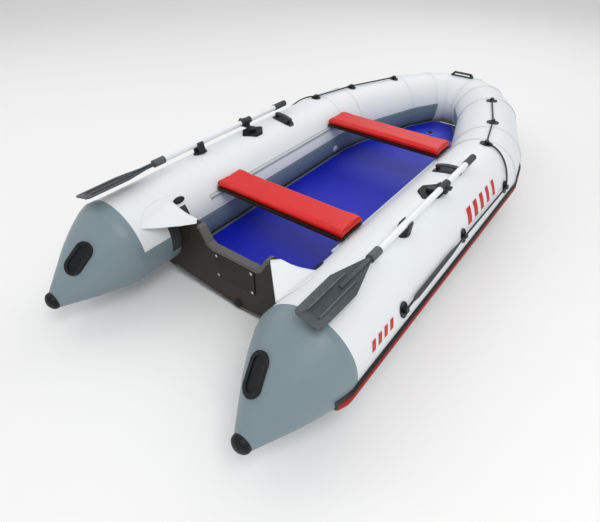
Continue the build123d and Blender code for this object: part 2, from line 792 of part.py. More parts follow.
handle_section = Plane(origin=(tube_x, handle_y, tube_z), x_dir=(1, 0, 0), z_dir=(0, -1, 0))
pad_top = tube_radius + 5
bar_under = tube_radius + handle_gap
pad_sector = tube_sector(tube_radius + gap, pad_top, 20)
arch_sector = tube_sector(pad_top - 1, bar_under + handle_bar, 14)
finger_sector = tube_sector(pad_top, bar_under, 11)
on_skin = tube_plane(handle_y, handle_angle)
lens = Plane(origin=on_skin.origin, x_dir=(0, 1, 0), z_dir=on_skin.z_dir)
with BuildPart() as carry_handle:
    with BuildSketch(handle_section.offset(-pad_half_long)):
        add(pad_sector)
    extrude(amount=2 * pad_half_long)
    with BuildSketch(lens.offset(-40)):
        Ellipse(pad_half_long, 2 * pad_half_long)
    extrude(amount=60, mode=Mode.INTERSECT)
    with BuildSketch(handle_section.offset(-handle_wide / 2)):
        add(arch_sector)
        add(finger_sector, mode=Mode.SUBTRACT)
    extrude(amount=handle_wide)
save(both(carry_handle.part), "carry_handles")

bow_section = Plane(origin=(0, bow_y, tube_z + bow_radius), x_dir=(1, 0, 0), z_dir=(0, -1, 0))
with BuildPart() as bow_handle:
    with BuildSketch(bow_section.offset(-handle_wide / 2)):
        with BuildLine():
            Polyline((-bow_handle_half - 16, gap), (-bow_handle_half - 16, 8),
                     (-bow_handle_half + 6, handle_gap + handle_bar),
                     (bow_handle_half - 6, handle_gap + handle_bar),
                     (bow_handle_half + 16, 8), (bow_handle_half + 16, gap), close=True)
        make_face()
        with BuildLine():
            Polyline((-bow_handle_half + 4, 6), (-bow_handle_half + 14, handle_gap),
                     (bow_handle_half - 14, handle_gap), (bow_handle_half - 4, 6), close=True)
        make_face(mode=Mode.SUBTRACT)
    extrude(amount=handle_wide)
    fillet(bow_handle.faces().sort_by(Axis.Z)[-1].edges().filter_by(Axis.X), 3)
save(bow_handle.part, "bow_handle")

# ---- handles on the tail cones: a dished plate with a bar across it ----
fore_y, fore_z, fore_r = cone_station(cone_steps[2][0], cone_steps[2][1])
aft_y, aft_z, aft_r = cone_station(cone_steps[3][0], cone_steps[3][1])
swing = radians(cone_handle_angle)
fore = Vector(tube_x + fore_r * sin(swing), fore_y, fore_z + fore_r * cos(swing))
aft = Vector(tube_x + aft_r * sin(swing), aft_y, aft_z + aft_r * cos(swing))
down = (aft - fore).normalized()
across = Vector(cos(swing), 0, -sin(swing))
lift = down.cross(across).normalized()
if lift.Z < 0:
    lift = lift * -1
share = (cone_handle_share - cone_steps[2][0]) / (cone_steps[3][0] - cone_steps[2][0])
plate = Plane(origin=fore + (aft - fore) * share, x_dir=down, z_dir=lift)
with BuildPart() as cone_handle:
    with BuildSketch(plate.offset(-14)):
        SlotOverall(176, 92)
    extrude(amount=22)
    fillet(cone_handle.faces().sort_by(Axis(plate.origin, plate.z_dir))[-1].edges(), 3)
    with BuildSketch(plate.offset(8)):
        SlotOverall(136, 54)
    extrude(amount=-5, mode=Mode.SUBTRACT)
    with BuildSketch(Plane(origin=plate.origin, x_dir=plate.x_dir,
                           z_dir=plate.y_dir).offset(-13)):
        with BuildLine():
            Polyline((-66, 4), (-52, 30), (52, 30), (66, 4), (52, 4), (44, 20), (-44, 20),
                     (-52, 4), close=True)
        make_face()
    extrude(amount=26)
    add(cone_loft(-gap), mode=Mode.SUBTRACT)
save(both(cone_handle.part.solids().sort_by(SortBy.VOLUME)[-1]), "cone_handles")

# ---- small moulded lugs ahead of the gussets ----
with BuildPart() as lug:
    with BuildSketch(tube_plane(lug_y, -46, gap + 1)):
        Ellipse(36, 17)
    extrude(amount=4)
    with BuildSketch(tube_plane(lug_y, -46, gap + 1)):
        Ellipse(26, 9)
    extrude(amount=7)
save(both(lug.part), "gusset_lugs")

# ---- grab line: holders, and one rope a side that runs through them ----
holders = [(stern_y + 2950, -2), (stern_y + 2540, 0), (stern_y + 2193, 5),
           (stern_y + 2055, 73), (stern_y + 1435, 70.5), (stern_y + 794, 71.5)]
wrap = [(stern_y + 2180, 24), (stern_y + 2145, 42), (stern_y + 2100, 58)]


def rope_point(y, angle):
    return tube_plane(y, angle, rope_lift).origin


route = [rope_point(*h) for h in holders[:3]] + [rope_point(*w) for w in wrap]
route += [rope_point(*h) for h in holders[3:]]
first_run = (route[0] - route[1]).normalized()
last_run = (route[-1] - route[-2]).normalized()
rope_end = 12.0
route[0] = route[0] + first_run * rope_end
route[-1] = route[-1] + last_run * rope_end


def corner_radii(points):
    """Each corner's arc: as large as its two runs leave room for."""
    radii = []
    for a, b, c in zip(points, points[1:], points[2:]):
        turn = radians((b - a).get_angle(c - b))
        radii.append(0.45 * min((b - a).length, (c - b).length) / tan(turn / 2))
    return radii


radii = corner_radii(route)
print("grab rope radii:", [round(r) for r in radii])
with BuildLine() as rope_path:
    FilletPolyline(*route, radius=radii)
print("grab rope length:", round(rope_path.wires()[0].length))


def rope_solid(r):
    with BuildPart() as rope:
        with BuildSketch(Plane(origin=route[0], z_dir=-first_run)):
            Circle(r)
        sweep(path=rope_path.line)
    return rope.part


one_side(rope_solid(rope_radius), "grab_rope")

bore = rope_solid(rope_radius + rope_clear)
with BuildPart() as rope_holders:
    for i, (y, angle) in enumerate(holders):
        frame = tube_plane(y, angle, gap + 1)
        j = i if i < 3 else i + len(wrap)
        ahead = route[min(j + 1, len(route) - 1)] - route[max(j - 1, 0)]
        flat = (ahead - frame.z_dir * ahead.dot(frame.z_dir)).normalized()
        turned = Plane(origin=frame.origin, x_dir=flat, z_dir=frame.z_dir)
        with BuildSketch(turned):
            Ellipse(30, 38)
        extrude(amount=4)
        with BuildSketch(turned):
            RectangleRounded(26, 22, 5)
        extrude(amount=rope_lift + rope_radius + 3)
    add(bore, mode=Mode.SUBTRACT)
save(Compound(children=[rope_holders.part, rope_holders.part.mirror(Plane.YZ)]), "rope_holders")
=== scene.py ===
import math

import bmesh
import bpy
import numpy as np
from bpy.props import FloatProperty, FloatVectorProperty, IntProperty, PointerProperty
from mathutils import Matrix, Vector, noise
from mathutils.bvhtree import BVHTree


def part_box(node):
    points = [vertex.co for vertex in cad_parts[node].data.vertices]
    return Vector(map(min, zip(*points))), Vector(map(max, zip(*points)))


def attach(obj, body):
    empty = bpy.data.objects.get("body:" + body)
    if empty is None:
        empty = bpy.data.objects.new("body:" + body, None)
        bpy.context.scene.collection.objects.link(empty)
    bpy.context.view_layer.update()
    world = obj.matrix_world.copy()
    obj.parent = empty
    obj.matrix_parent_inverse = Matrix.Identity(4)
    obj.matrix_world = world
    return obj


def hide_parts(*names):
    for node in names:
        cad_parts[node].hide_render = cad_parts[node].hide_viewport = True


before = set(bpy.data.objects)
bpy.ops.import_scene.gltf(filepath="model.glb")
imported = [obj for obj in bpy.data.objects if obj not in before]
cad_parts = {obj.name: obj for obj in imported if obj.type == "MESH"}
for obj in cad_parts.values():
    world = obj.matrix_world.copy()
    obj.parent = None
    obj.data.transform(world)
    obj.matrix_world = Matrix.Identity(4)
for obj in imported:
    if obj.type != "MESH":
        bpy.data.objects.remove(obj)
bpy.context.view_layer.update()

bl_info = {
    "name": "Inflatable motor dinghy",
    "version": (1, 0, 0),
    "blender": (4, 5, 0),
    "location": "View3D > Sidebar > Dinghy",
    "description": "Builds the skins, cushions, lines and finishes of an inflatable motor dinghy",
    "category": "Add Mesh",
}

HULL = "hull"

# Starboard tube centre line from the cone seam to the bow: x, y, radius in metres.
CHAIN = [
    (0.600, -1.404, 0.225), (0.600, 0.459, 0.225), (0.560, 0.679, 0.223),
    (0.375, 1.229, 0.210), (0.225, 1.489, 0.199), (0.095, 1.591, 0.195),
]
CHAIN += [(-x, y, r) for x, y, r in reversed(CHAIN)]
AXIS_Z = 0.295
SHOULDER, BOW, LAST = 1, 4, len(CHAIN) - 1

# Tail cone: share of the length from the seam, radius as a part of the tube's.
CONE_STEPS = [(0.0, 1.0), (0.22, 0.895), (0.50, 0.68), (0.75, 0.44), (1.0, 0.191)]
CONE_LENGTH = 0.358
CONE_DROP = 0.65

# Strake: angles of its top edge and its foot, degrees from the top of the tube.
STRAKE_TOP, STRAKE_FOOT = 93.0, 119.0

# Floor: its edge from the tube's axis in plan, half its front edge, its rounded rim.
DECK_EDGE, DECK_FRONT_HALF, DECK_ROUND = 0.178, 0.100, 0.032

# Cushion piping: how far in from the cushion's ends, lift over the cover, radius, steps a side.
PIPING_IN, PIPING_LIFT, PIPING_RADIUS, PIPING_STEPS = 0.010, 0.0004, 0.0017, 24

# Studio: name, place, watts and size of each soft light, and the even light all round.
LIGHTS = (
    ("key_light", (2.8, -2.6, 5.2), 130.0, 3.2),
    ("fill_light", (-4.2, -1.4, 4.2), 50.0, 4.5),
    ("back_light", (-0.5, 4.6, 4.4), 60.0, 4.0),
)
SKY_LIGHT = 0.62
LIGHT_AIM = Vector((0, 0, 0.3))
FLOOR_REACH = 30.0

# Camera: place, then azimuth, elevation and roll in degrees, and the lens on a 36 mm sensor.
CAMERA_AT = (1.281, -2.350, 1.722)
CAMERA_TURN = (36.514, 39.109, 0.517)
SENSOR = 36.0
LENS = 27.9972


def from_hex(code):
    """Linear colour of a hex code."""
    parts = [int(code[i:i + 2], 16) / 255 for i in (1, 3, 5)]
    return [c / 12.92 if c <= 0.04045 else ((c + 0.055) / 1.055) ** 2.4 for c in parts]


def colour_property(name, description, code):
    return FloatVectorProperty(name=name, description=description, default=from_hex(code),
                               size=3, min=0.0, max=1.0, subtype="COLOR")


class DinghySizes(bpy.types.PropertyGroup):
    tape_width: FloatProperty(
        name="Seam tape", description="Width of the tapes over the tube seams",
        default=0.030, min=0.01, max=0.06, unit="LENGTH")
    tape_lift: FloatProperty(
        name="Tape thickness", description="Height of tapes and patches over the skin",
        default=0.0007, min=0.0002, max=0.002, unit="LENGTH")
    collar: FloatProperty(
        name="Cone collar", description="How far the cone's fabric laps over the side tube",
        default=0.032, min=0.01, max=0.08, unit="LENGTH")
    pucker: FloatProperty(
        name="Seam pucker", description="Depth of the fine creases beside each seam",
        default=0.0014, min=0.0, max=0.004, unit="LENGTH")
    colour_break: FloatProperty(
        name="Colour break", description="Angle from the top of the tube to the grey inner side",
        default=math.radians(-86.25), subtype="ANGLE")
    rope_diameter: FloatProperty(
        name="Grab line", description="Diameter of the grab line",
        default=0.010, min=0.006, max=0.016, unit="LENGTH")
    sleeve_diameter: FloatProperty(
        name="Line sleeve", description="Thickest diameter of the sleeve on the grab line",
        default=0.021, min=0.012, max=0.03, unit="LENGTH")
    cushion_voxel: FloatProperty(
        name="Cushion mesh", description="Mesh size of the cushions before they are filled",
        default=0.005, min=0.004, max=0.006, unit="LENGTH")
    cushion_swell: FloatProperty(
        name="Cushion swell", description="Most that filling may move a cushion's cover",
        default=0.009, min=0.002, max=0.02, unit="LENGTH")
    cushion_pressure: FloatProperty(
        name="Cushion pressure", description="Pressure that fills the cushion's cover",
        default=4.0, min=0.5, max=10.0)
    round_steps: IntProperty(
        name="Steps round a tube", description="Faces round each tube's section",
        default=96, min=48, max=192)


class DinghyColours(bpy.types.PropertyGroup):
    tube: colour_property("Tube", "White coated fabric of the tubes", "#E6EAEC")
    cone: colour_property("Cone", "Blue-grey fabric of the cones and inner sides", "#7C8D95")
    bottom: colour_property("Bottom", "Grey fabric under the hull", "#6A757C")
    deck: colour_property("Deck", "Blue fabric of the floor", "#0518B8")
    patch: colour_property("Deck patch", "Lighter patch round the floor valve", "#1C3CC8")
    cushion: colour_property("Cushion", "Red cover of the bench cushions", "#D8120A")
    rib: colour_property("Strake rib", "Red ribs of the rubbing strake", "#A8140C")
    strake: colour_property("Strake", "Charcoal rubber of the strake", "#1A1D20")
    moulding: colour_property("Moulding", "Black moulded fittings", "#0C0E10")
    profile: colour_property("Profile", "Grey rubber over the transom's edge", "#54524F")
    board: colour_property("Board", "Dark sealed plywood", "#17110C")
    pale: colour_property("Pale plastic", "Rails, sliders and valves", "#C9CFD2")
    shaft: colour_property("Oar shaft", "White paint of the oar shafts", "#EEF1F3")
    blade: colour_property("Oar blade", "Grey plastic of the oar blades", "#2E363B")
    graphic: colour_property("Stripes", "Red stripes on the tubes", "#C4140C")
    floor: colour_property("Floor", "Studio floor", "#F6F6F6")


# ---------------------------------------------------------------- tube geometry
def run_heading(i):
    (ax, ay, _), (bx, by, _) = CHAIN[i], CHAIN[i + 1]
    return math.atan2(ax - bx, by - ay)


def mitre(i):
    """Heading of the joint's normal at chain point i and half the turn there."""
    before = run_heading(max(i - 1, 0))
    after = run_heading(min(i, LAST - 1))
    return (before + after) / 2, (after - before) / 2


def ring_point(i, angle, lift=0.0):
    x, y, r = CHAIN[i]
    turn, half = mitre(i)
    reach = (r + lift) / math.cos(half) * math.sin(angle)
    return Vector((x + reach * math.cos(turn), y + reach * math.sin(turn),
                   AXIS_Z + (r + lift) * math.cos(angle)))


def skin_point(s, angle, lift=0.0):
    """Point on the tubes: s counts chain points, the angle is from the top, + outboard."""
    i = min(max(int(math.floor(s)), 0), LAST - 1)
    return ring_point(i, angle, lift).lerp(ring_point(i + 1, angle, lift), s - i)


def chain_place(y):
    """Where along the starboard chain a given y lies."""
    for i in range(BOW + 1):
        ay, by = CHAIN[i][1], CHAIN[i + 1][1]
        if y <= by:
            return i + (y - ay) / (by - ay)
    return BOW + 1.0


def side_point(y, degrees, lift, side=1):
    """Point on the starboard skin at y and an angle in degrees, or its mirror to port."""
    p = skin_point(chain_place(y), math.radians(degrees), lift)
    return Vector((side * p.x, p.y, p.z))


def run_length(i):
    (ax, ay, _), (bx, by, _) = CHAIN[i], CHAIN[i + 1]
    return math.hypot(bx - ax, by - ay)


def cone_radius(share):
    """Smooth radius of the tail cone at a share of its length from the seam."""
    shares = [s for s, _ in CONE_STEPS]
    parts = [p for _, p in CONE_STEPS]
    slopes = [0.0]
    for k in range(1, len(shares) - 1):
        slopes.append((parts[k + 1] - parts[k - 1]) / (shares[k + 1] - shares[k - 1]))
    slopes.append((parts[-1] - parts[-2]) / (shares[-1] - shares[-2]))
    k = min(max(np.searchsorted(shares, share) - 1, 0), len(shares) - 2)
    h = shares[k + 1] - shares[k]
    t = (share - shares[k]) / h
    return CHAIN[0][2] * ((2 * t ** 3 - 3 * t ** 2 + 1) * parts[k]
                          + (t ** 3 - 2 * t ** 2 + t) * h * slopes[k]
                          + (3 * t ** 2 - 2 * t ** 3) * parts[k + 1]
                          + (t ** 3 - t ** 2) * h * slopes[k + 1])


def cone_point(share, angle, lift=0.0, side=1):
    r = cone_radius(share)
    x, y, full = CHAIN[0]
    return Vector((side * (x + (r + lift) * math.sin(angle)), y - share * CONE_LENGTH,
                   AXIS_Z - (full - r) * CONE_DROP + (r + lift) * math.cos(angle)))


# ---------------------------------------------------------------- mesh helpers
def piece(name, verts, faces, materials, slots=None, body=HULL, node=(),
          smooth=True, sharp=50):
    mesh = bpy.data.meshes.new(name)
    mesh.from_pydata([tuple(v) for v in verts], [], faces)
    for m in materials:
        mesh.materials.append(m)
    if slots is not None:
        mesh.polygons.foreach_set("material_index", slots)
    mesh.validate()
    tidy = bmesh.new()
    tidy.from_mesh(mesh)
    bmesh.ops.remove_doubles(tidy, verts=tidy.verts, dist=1e-6)
    bmesh.ops.recalc_face_normals(tidy, faces=tidy.faces)
    tidy.to_mesh(mesh)
    tidy.free()
    if smooth:
        mesh.shade_smooth()
        mesh.set_sharp_from_angle(angle=math.radians(sharp))
    obj = bpy.data.objects.new(name, mesh)
    bpy.context.scene.collection.objects.link(obj)
    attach(obj, body)
    if node:
        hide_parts(*([node] if isinstance(node, str) else node))
    return obj


def grid_faces(rows, columns, close=False, start=0):
    """Faces of a grid of rows by columns; close joins the last column to the first."""
    faces = []
    for i in range(rows - 1):
        for j in range(columns if close else columns - 1):
            k = (j + 1) % columns
            faces.append((start + i * columns + j, start + i * columns + k,
                          start + (i + 1) * columns + k, start + (i + 1) * columns + j))
    return faces


def tube_along(points, radius, sides=10, closed=False, twist=0.0, strands=0, depth=0.0):
    """Verts and faces of a tube along points; radius may be a list. Strands wind round it."""
    n = len(points)
    radii = radius if hasattr(radius, "__len__") else [radius] * n
    verts, normal, gone = [], None, 0.0
    for i, p in enumerate(points):
        a = points[i - 1] if i or closed else p
        b = points[(i + 1) % n] if i < n - 1 or closed else p
        along = (b - a).normalized()
        if normal is None:
            normal = along.orthogonal().normalized()
        normal = (normal - along * normal.dot(along)).normalized()
        other = along.cross(normal)
        if i:
            gone += (p - points[i - 1]).length
        for j in range(sides):
            t = 2 * math.pi * j / sides
            r = radii[i]
            if strands:
                r -= depth * (1 - abs(math.cos(strands / 2 * (t + twist * gone))))
            verts.append(p + normal * (r * math.cos(t)) + other * (r * math.sin(t)))
    faces = grid_faces(n, sides, close=True)
    if closed:
        last = (n - 1) * sides
        faces += [(last + j, last + (j + 1) % sides, (j + 1) % sides, j) for j in range(sides)]
    else:
        faces.append(tuple(reversed(range(sides))))
        faces.append(tuple(range((n - 1) * sides, n * sides)))
    return verts, faces


def join_parts(parts):
    """One list of verts and one of faces from several."""
    verts, faces = [], []
    for v, f in parts:
        base = len(verts)
        verts += v
        faces += [tuple(base + k for k in face) for face in f]
    return verts, faces


def ribbon(rows, lift, thin=0.0001):
    """A thin raised band from rows of functions of lift: its edges meet the skin."""
    verts = []
    count = len(rows)
    for k, row in enumerate(rows):
        verts += [f(thin if k in (0, count - 1) else lift) for f in row]
    return verts, grid_faces(count, len(rows[0]))


# ---------------------------------------------------------------- shader groups
def new_group(name, inputs, outputs):
    """An empty node group; inputs are (name, type, default), outputs (name, type)."""
    group = bpy.data.node_groups.new(name, "ShaderNodeTree")
    for label, kind, default in inputs:
        socket = group.interface.new_socket(label, in_out="INPUT", socket_type=kind)
        socket.default_value = default
    for label, kind in outputs:
        group.interface.new_socket(label, in_out="OUTPUT", socket_type=kind)
    return group, group.nodes.new("NodeGroupInput"), group.nodes.new("NodeGroupOutput")


def math_node(tree, operation, a, b=None):
    node = tree.nodes.new("ShaderNodeMath")
    node.operation = operation
    for socket, value in zip(node.inputs, (a, b)):
        if value is None:
            continue
        if isinstance(value, (int, float)):
            socket.default_value = value
        else:
            tree.links.new(value, socket)
    return node.outputs[0]


def mix_colours(tree, factor, a, b, blend="MIX"):
    node = tree.nodes.new("ShaderNodeMix")
    node.data_type = "RGBA"
    node.blend_type = blend
    for socket, value in ((node.inputs[0], factor), (node.inputs[6], a), (node.inputs[7], b)):
        if isinstance(value, (int, float)):
            socket.default_value = value
        elif isinstance(value, (tuple, list)):
            socket.default_value = (*value[:3], 1.0)
        else:
            tree.links.new(value, socket)
    return node.outputs[2]


def noise_node(tree, place, scale, detail=3.0, rough=0.5):
    node = tree.nodes.new("ShaderNodeTexNoise")
    node.inputs["Detail"].default_value = detail
    node.inputs["Roughness"].default_value = rough
    tree.links.new(place, node.inputs["Vector"])
    if isinstance(scale, (int, float)):
        node.inputs["Scale"].default_value = scale
    else:
        tree.links.new(scale, node.inputs["Scale"])
    return node.outputs["Fac"]


def object_place(tree):
    return tree.nodes.new("ShaderNodeTexCoord").outputs["Object"]


def tone(tree, colour, amount, field):
    """Colour made lighter and darker by amount where a field of 0 to 1 says."""
    spread = math_node(tree, "MULTIPLY", math_node(tree, "SUBTRACT", field, 0.5), amount)
    gain = math_node(tree, "ADD", spread, 1.0)
    grey = tree.nodes.new("ShaderNodeCombineColor")
    for socket in grey.inputs[:3]:
        tree.links.new(gain, socket)
    return mix_colours(tree, 1.0, colour, grey.outputs[0], "MULTIPLY")


def make_groups():
    """Effects that several finishes share."""
    groups = {}
    tree, given, out = new_group(
        "coated_weave",
        [("Colour", "NodeSocketColor", (1, 1, 1, 1)), ("Threads", "NodeSocketFloat", 900.0),
         ("Mottle", "NodeSocketFloat", 0.06)],
        [("Colour", "NodeSocketColor"), ("Height", "NodeSocketFloat"),
         ("Roughness", "NodeSocketFloat")])
    place = object_place(tree)
    waves = []
    for direction in ("X", "Y", "Z"):
        wave = tree.nodes.new("ShaderNodeTexWave")
        wave.bands_direction = direction
        wave.inputs["Distortion"].default_value = 0.6
        wave.inputs["Detail"].default_value = 0.0
        tree.links.new(place, wave.inputs["Vector"])
        tree.links.new(math_node(tree, "MULTIPLY", given.outputs["Threads"], 0.31),
                       wave.inputs["Scale"])
        waves.append(wave.outputs["Fac"])
    threads = math_node(tree, "ADD", math_node(tree, "MULTIPLY", waves[0], waves[1]),
                        math_node(tree, "MULTIPLY", waves[1], waves[2]))
    broad = noise_node(tree, place, 2.6, 4.0, 0.55)
    fine = noise_node(tree, place, 240.0, 2.0)
    shade = tone(tree, given.outputs["Colour"], given.outputs["Mottle"], broad)
    shade = tone(tree, shade, math_node(tree, "MULTIPLY", given.outputs["Mottle"], 0.5), fine)
    tree.links.new(shade, out.inputs["Colour"])
    tree.links.new(math_node(tree, "ADD", math_node(tree, "MULTIPLY", threads, 0.5),
                             math_node(tree, "MULTIPLY", fine, 0.3)), out.inputs["Height"])
    tree.links.new(math_node(tree, "ADD", math_node(tree, "MULTIPLY", broad, 0.18), 0.30),
                   out.inputs["Roughness"])
    groups["weave"] = tree

    tree, given, out = new_group(
        "moulded_grain",
        [("Colour", "NodeSocketColor", (0, 0, 0, 1)), ("Grain", "NodeSocketFloat", 900.0),
         ("Dust", "NodeSocketFloat", 0.10)],
        [("Colour", "NodeSocketColor"), ("Height", "NodeSocketFloat"),
         ("Roughness", "NodeSocketFloat")])
    place = object_place(tree)
    grain = noise_node(tree, place, given.outputs["Grain"], 2.0)
    cloud = noise_node(tree, place, 14.0, 5.0, 0.6)
    dusty = math_node(tree, "MULTIPLY", given.outputs["Dust"], cloud)
    shade = mix_colours(tree, dusty, given.outputs["Colour"], (0.16, 0.165, 0.17))
    tree.links.new(shade, out.inputs["Colour"])
    tree.links.new(grain, out.inputs["Height"])
    tree.links.new(math_node(tree, "ADD", math_node(tree, "MULTIPLY", cloud, 0.22), 0.36),
                   out.inputs["Roughness"])
    groups["grain"] = tree

    tree, given, out = new_group(
        "edge_wear",
        [("Colour", "NodeSocketColor", (0, 0, 0, 1)), ("Worn", "NodeSocketColor", (1, 1, 1, 1)),
         ("Amount", "NodeSocketFloat", 0.3)],
        [("Colour", "NodeSocketColor"), ("Mask", "NodeSocketFloat")])
    shape = tree.nodes.new("ShaderNodeNewGeometry").outputs["Pointiness"]
    edge = tree.nodes.new("ShaderNodeMapRange")
    edge.inputs["From Min"].default_value = 0.52
    edge.inputs["From Max"].default_value = 0.62
    tree.links.new(shape, edge.inputs["Value"])
    patch = noise_node(tree, object_place(tree), 60.0, 4.0, 0.65)
    mask = math_node(tree, "MULTIPLY", math_node(tree, "MULTIPLY", edge.outputs[0], patch),
                     given.outputs["Amount"])
    tree.links.new(mask, out.inputs["Mask"])
    tree.links.new(mix_colours(tree, mask, given.outputs["Colour"], given.outputs["Worn"]),
                   out.inputs["Colour"])
    groups["wear"] = tree

    tree, given, out = new_group(
        "timber",
        [("Light", "NodeSocketColor", (0.1, 0.08, 0.05, 1)),
         ("Dark", "NodeSocketColor", (0.02, 0.015, 0.01, 1))],
        [("Colour", "NodeSocketColor"), ("Height", "NodeSocketFloat")])
    stretch = tree.nodes.new("ShaderNodeMapping")
    stretch.inputs["Scale"].default_value = (4.0, 60.0, 90.0)
    tree.links.new(object_place(tree), stretch.inputs["Vector"])
    figure = noise_node(tree, stretch.outputs["Vector"], 1.0, 6.0, 0.62)
    pores = noise_node(tree, stretch.outputs["Vector"], 9.0, 2.0)
    tree.links.new(mix_colours(tree, figure, given.outputs["Dark"], given.outputs["Light"]),
                   out.inputs["Colour"])
    tree.links.new(math_node(tree, "ADD", figure, math_node(tree, "MULTIPLY", pores, 0.4)),
                   out.inputs["Height"])
    groups["timber"] = tree
    return groups


def place_group(tree, group, **values):
    node = tree.nodes.new("ShaderNodeGroup")
    node.node_tree = group
    for label, value in values.items():
        if isinstance(value, (int, float)):
            node.inputs[label].default_value = value
        elif isinstance(value, (tuple, list)):
            node.inputs[label].default_value = (*value[:3], 1.0)
        elif hasattr(value, "is_linked"):
            tree.links.new(value, node.inputs[label])
        else:
            node.inputs[label].default_value = (*list(value)[:3], 1.0)
    return node


def start_material(name):
    """A material with its Principled shader and a bump on its normal."""
    mat = bpy.data.materials.new(name)
    mat.use_nodes = True
    tree = mat.node_tree
    shader = next(n for n in tree.nodes if n.type == "BSDF_PRINCIPLED")
    bump = tree.nodes.new("ShaderNodeBump")
    tree.links.new(bump.outputs["Normal"], shader.inputs["Normal"])
    return mat, tree, shader, bump


def fabric(name, colour, threads=900.0, mottle=0.06, depth=0.12, specular=0.4, creases=0.0):
    mat, tree, shader, bump = start_material(name)
    weave = place_group(tree, GROUPS["weave"], Colour=tuple(colour), Threads=threads, Mottle=mottle)
    tree.links.new(weave.outputs["Colour"], shader.inputs["Base Color"])
    tree.links.new(weave.outputs["Roughness"], shader.inputs["Roughness"])
    height = weave.outputs["Height"]
    if creases:
        soft = noise_node(tree, object_place(tree), 22.0, 3.0, 0.6)
        height = math_node(tree, "ADD", math_node(tree, "MULTIPLY", height, 0.25),
                           math_node(tree, "MULTIPLY", soft, creases))
    tree.links.new(height, bump.inputs["Height"])
    bump.inputs["Strength"].default_value = depth
    bump.inputs["Distance"].default_value = 0.001
    shader.inputs["Specular IOR Level"].default_value = specular
    return mat


def moulded(name, colour, grain=900.0, dust=0.10, wear=0.25, worn=(0.35, 0.36, 0.37), depth=0.15,
            ribs=0.0, rib_axis="Y"):
    mat, tree, shader, bump = start_material(name)
    body = place_group(tree, GROUPS["grain"], Colour=tuple(colour), Grain=grain, Dust=dust)
    edge = place_group(tree, GROUPS["wear"], Colour=body.outputs["Colour"], Worn=worn, Amount=wear)
    tree.links.new(edge.outputs["Colour"], shader.inputs["Base Color"])
    tree.links.new(body.outputs["Roughness"], shader.inputs["Roughness"])
    shader.inputs["Specular IOR Level"].default_value = 0.25
    height = body.outputs["Height"]
    if ribs:
        wave = tree.nodes.new("ShaderNodeTexWave")
        wave.bands_direction = rib_axis
        wave.inputs["Scale"].default_value = ribs
        tree.links.new(object_place(tree), wave.inputs["Vector"])
        height = math_node(tree, "ADD", math_node(tree, "MULTIPLY", height, 0.2),
                           math_node(tree, "MULTIPLY", wave.outputs["Fac"], 2.0))
    tree.links.new(height, bump.inputs["Height"])
    bump.inputs["Strength"].default_value = depth
    bump.inputs["Distance"].default_value = 0.001
    return mat


def timber(name, colour):
    mat, tree, shader, bump = start_material(name)
    light = tuple(min(1.0, c * 1.7) for c in colour)
    dark = tuple(c * 0.45 for c in colour)
    wood = place_group(tree, GROUPS["timber"], Light=light, Dark=dark)
    edge = place_group(tree, GROUPS["wear"], Colour=wood.outputs["Colour"],
                       Worn=(0.16, 0.12, 0.08), Amount=0.2)
    tree.links.new(edge.outputs["Colour"], shader.inputs["Base Color"])
    tree.links.new(wood.outputs["Height"], bump.inputs["Height"])
    bump.inputs["Strength"].default_value = 0.12
    bump.inputs["Distance"].default_value = 0.001
    shader.inputs["Roughness"].default_value = 0.42
    shader.inputs["Specular IOR Level"].default_value = 0.20
    shader.inputs["Coat Weight"].default_value = 0.10
    shader.inputs["Coat Roughness"].default_value = 0.3
    return mat


def painted(name, colour, metallic=0.0, roughness=0.3):
    mat, tree, shader, bump = start_material(name)
    body = place_group(tree, GROUPS["grain"], Colour=tuple(colour), Grain=1400.0, Dust=0.05)
    tree.links.new(body.outputs["Colour"], shader.inputs["Base Color"])
    tree.links.new(body.outputs["Height"], bump.inputs["Height"])
    bump.inputs["Strength"].default_value = 0.04
    bump.inputs["Distance"].default_value = 0.0005
    shader.inputs["Roughness"].default_value = roughness
    shader.inputs["Metallic"].default_value = metallic
    return mat


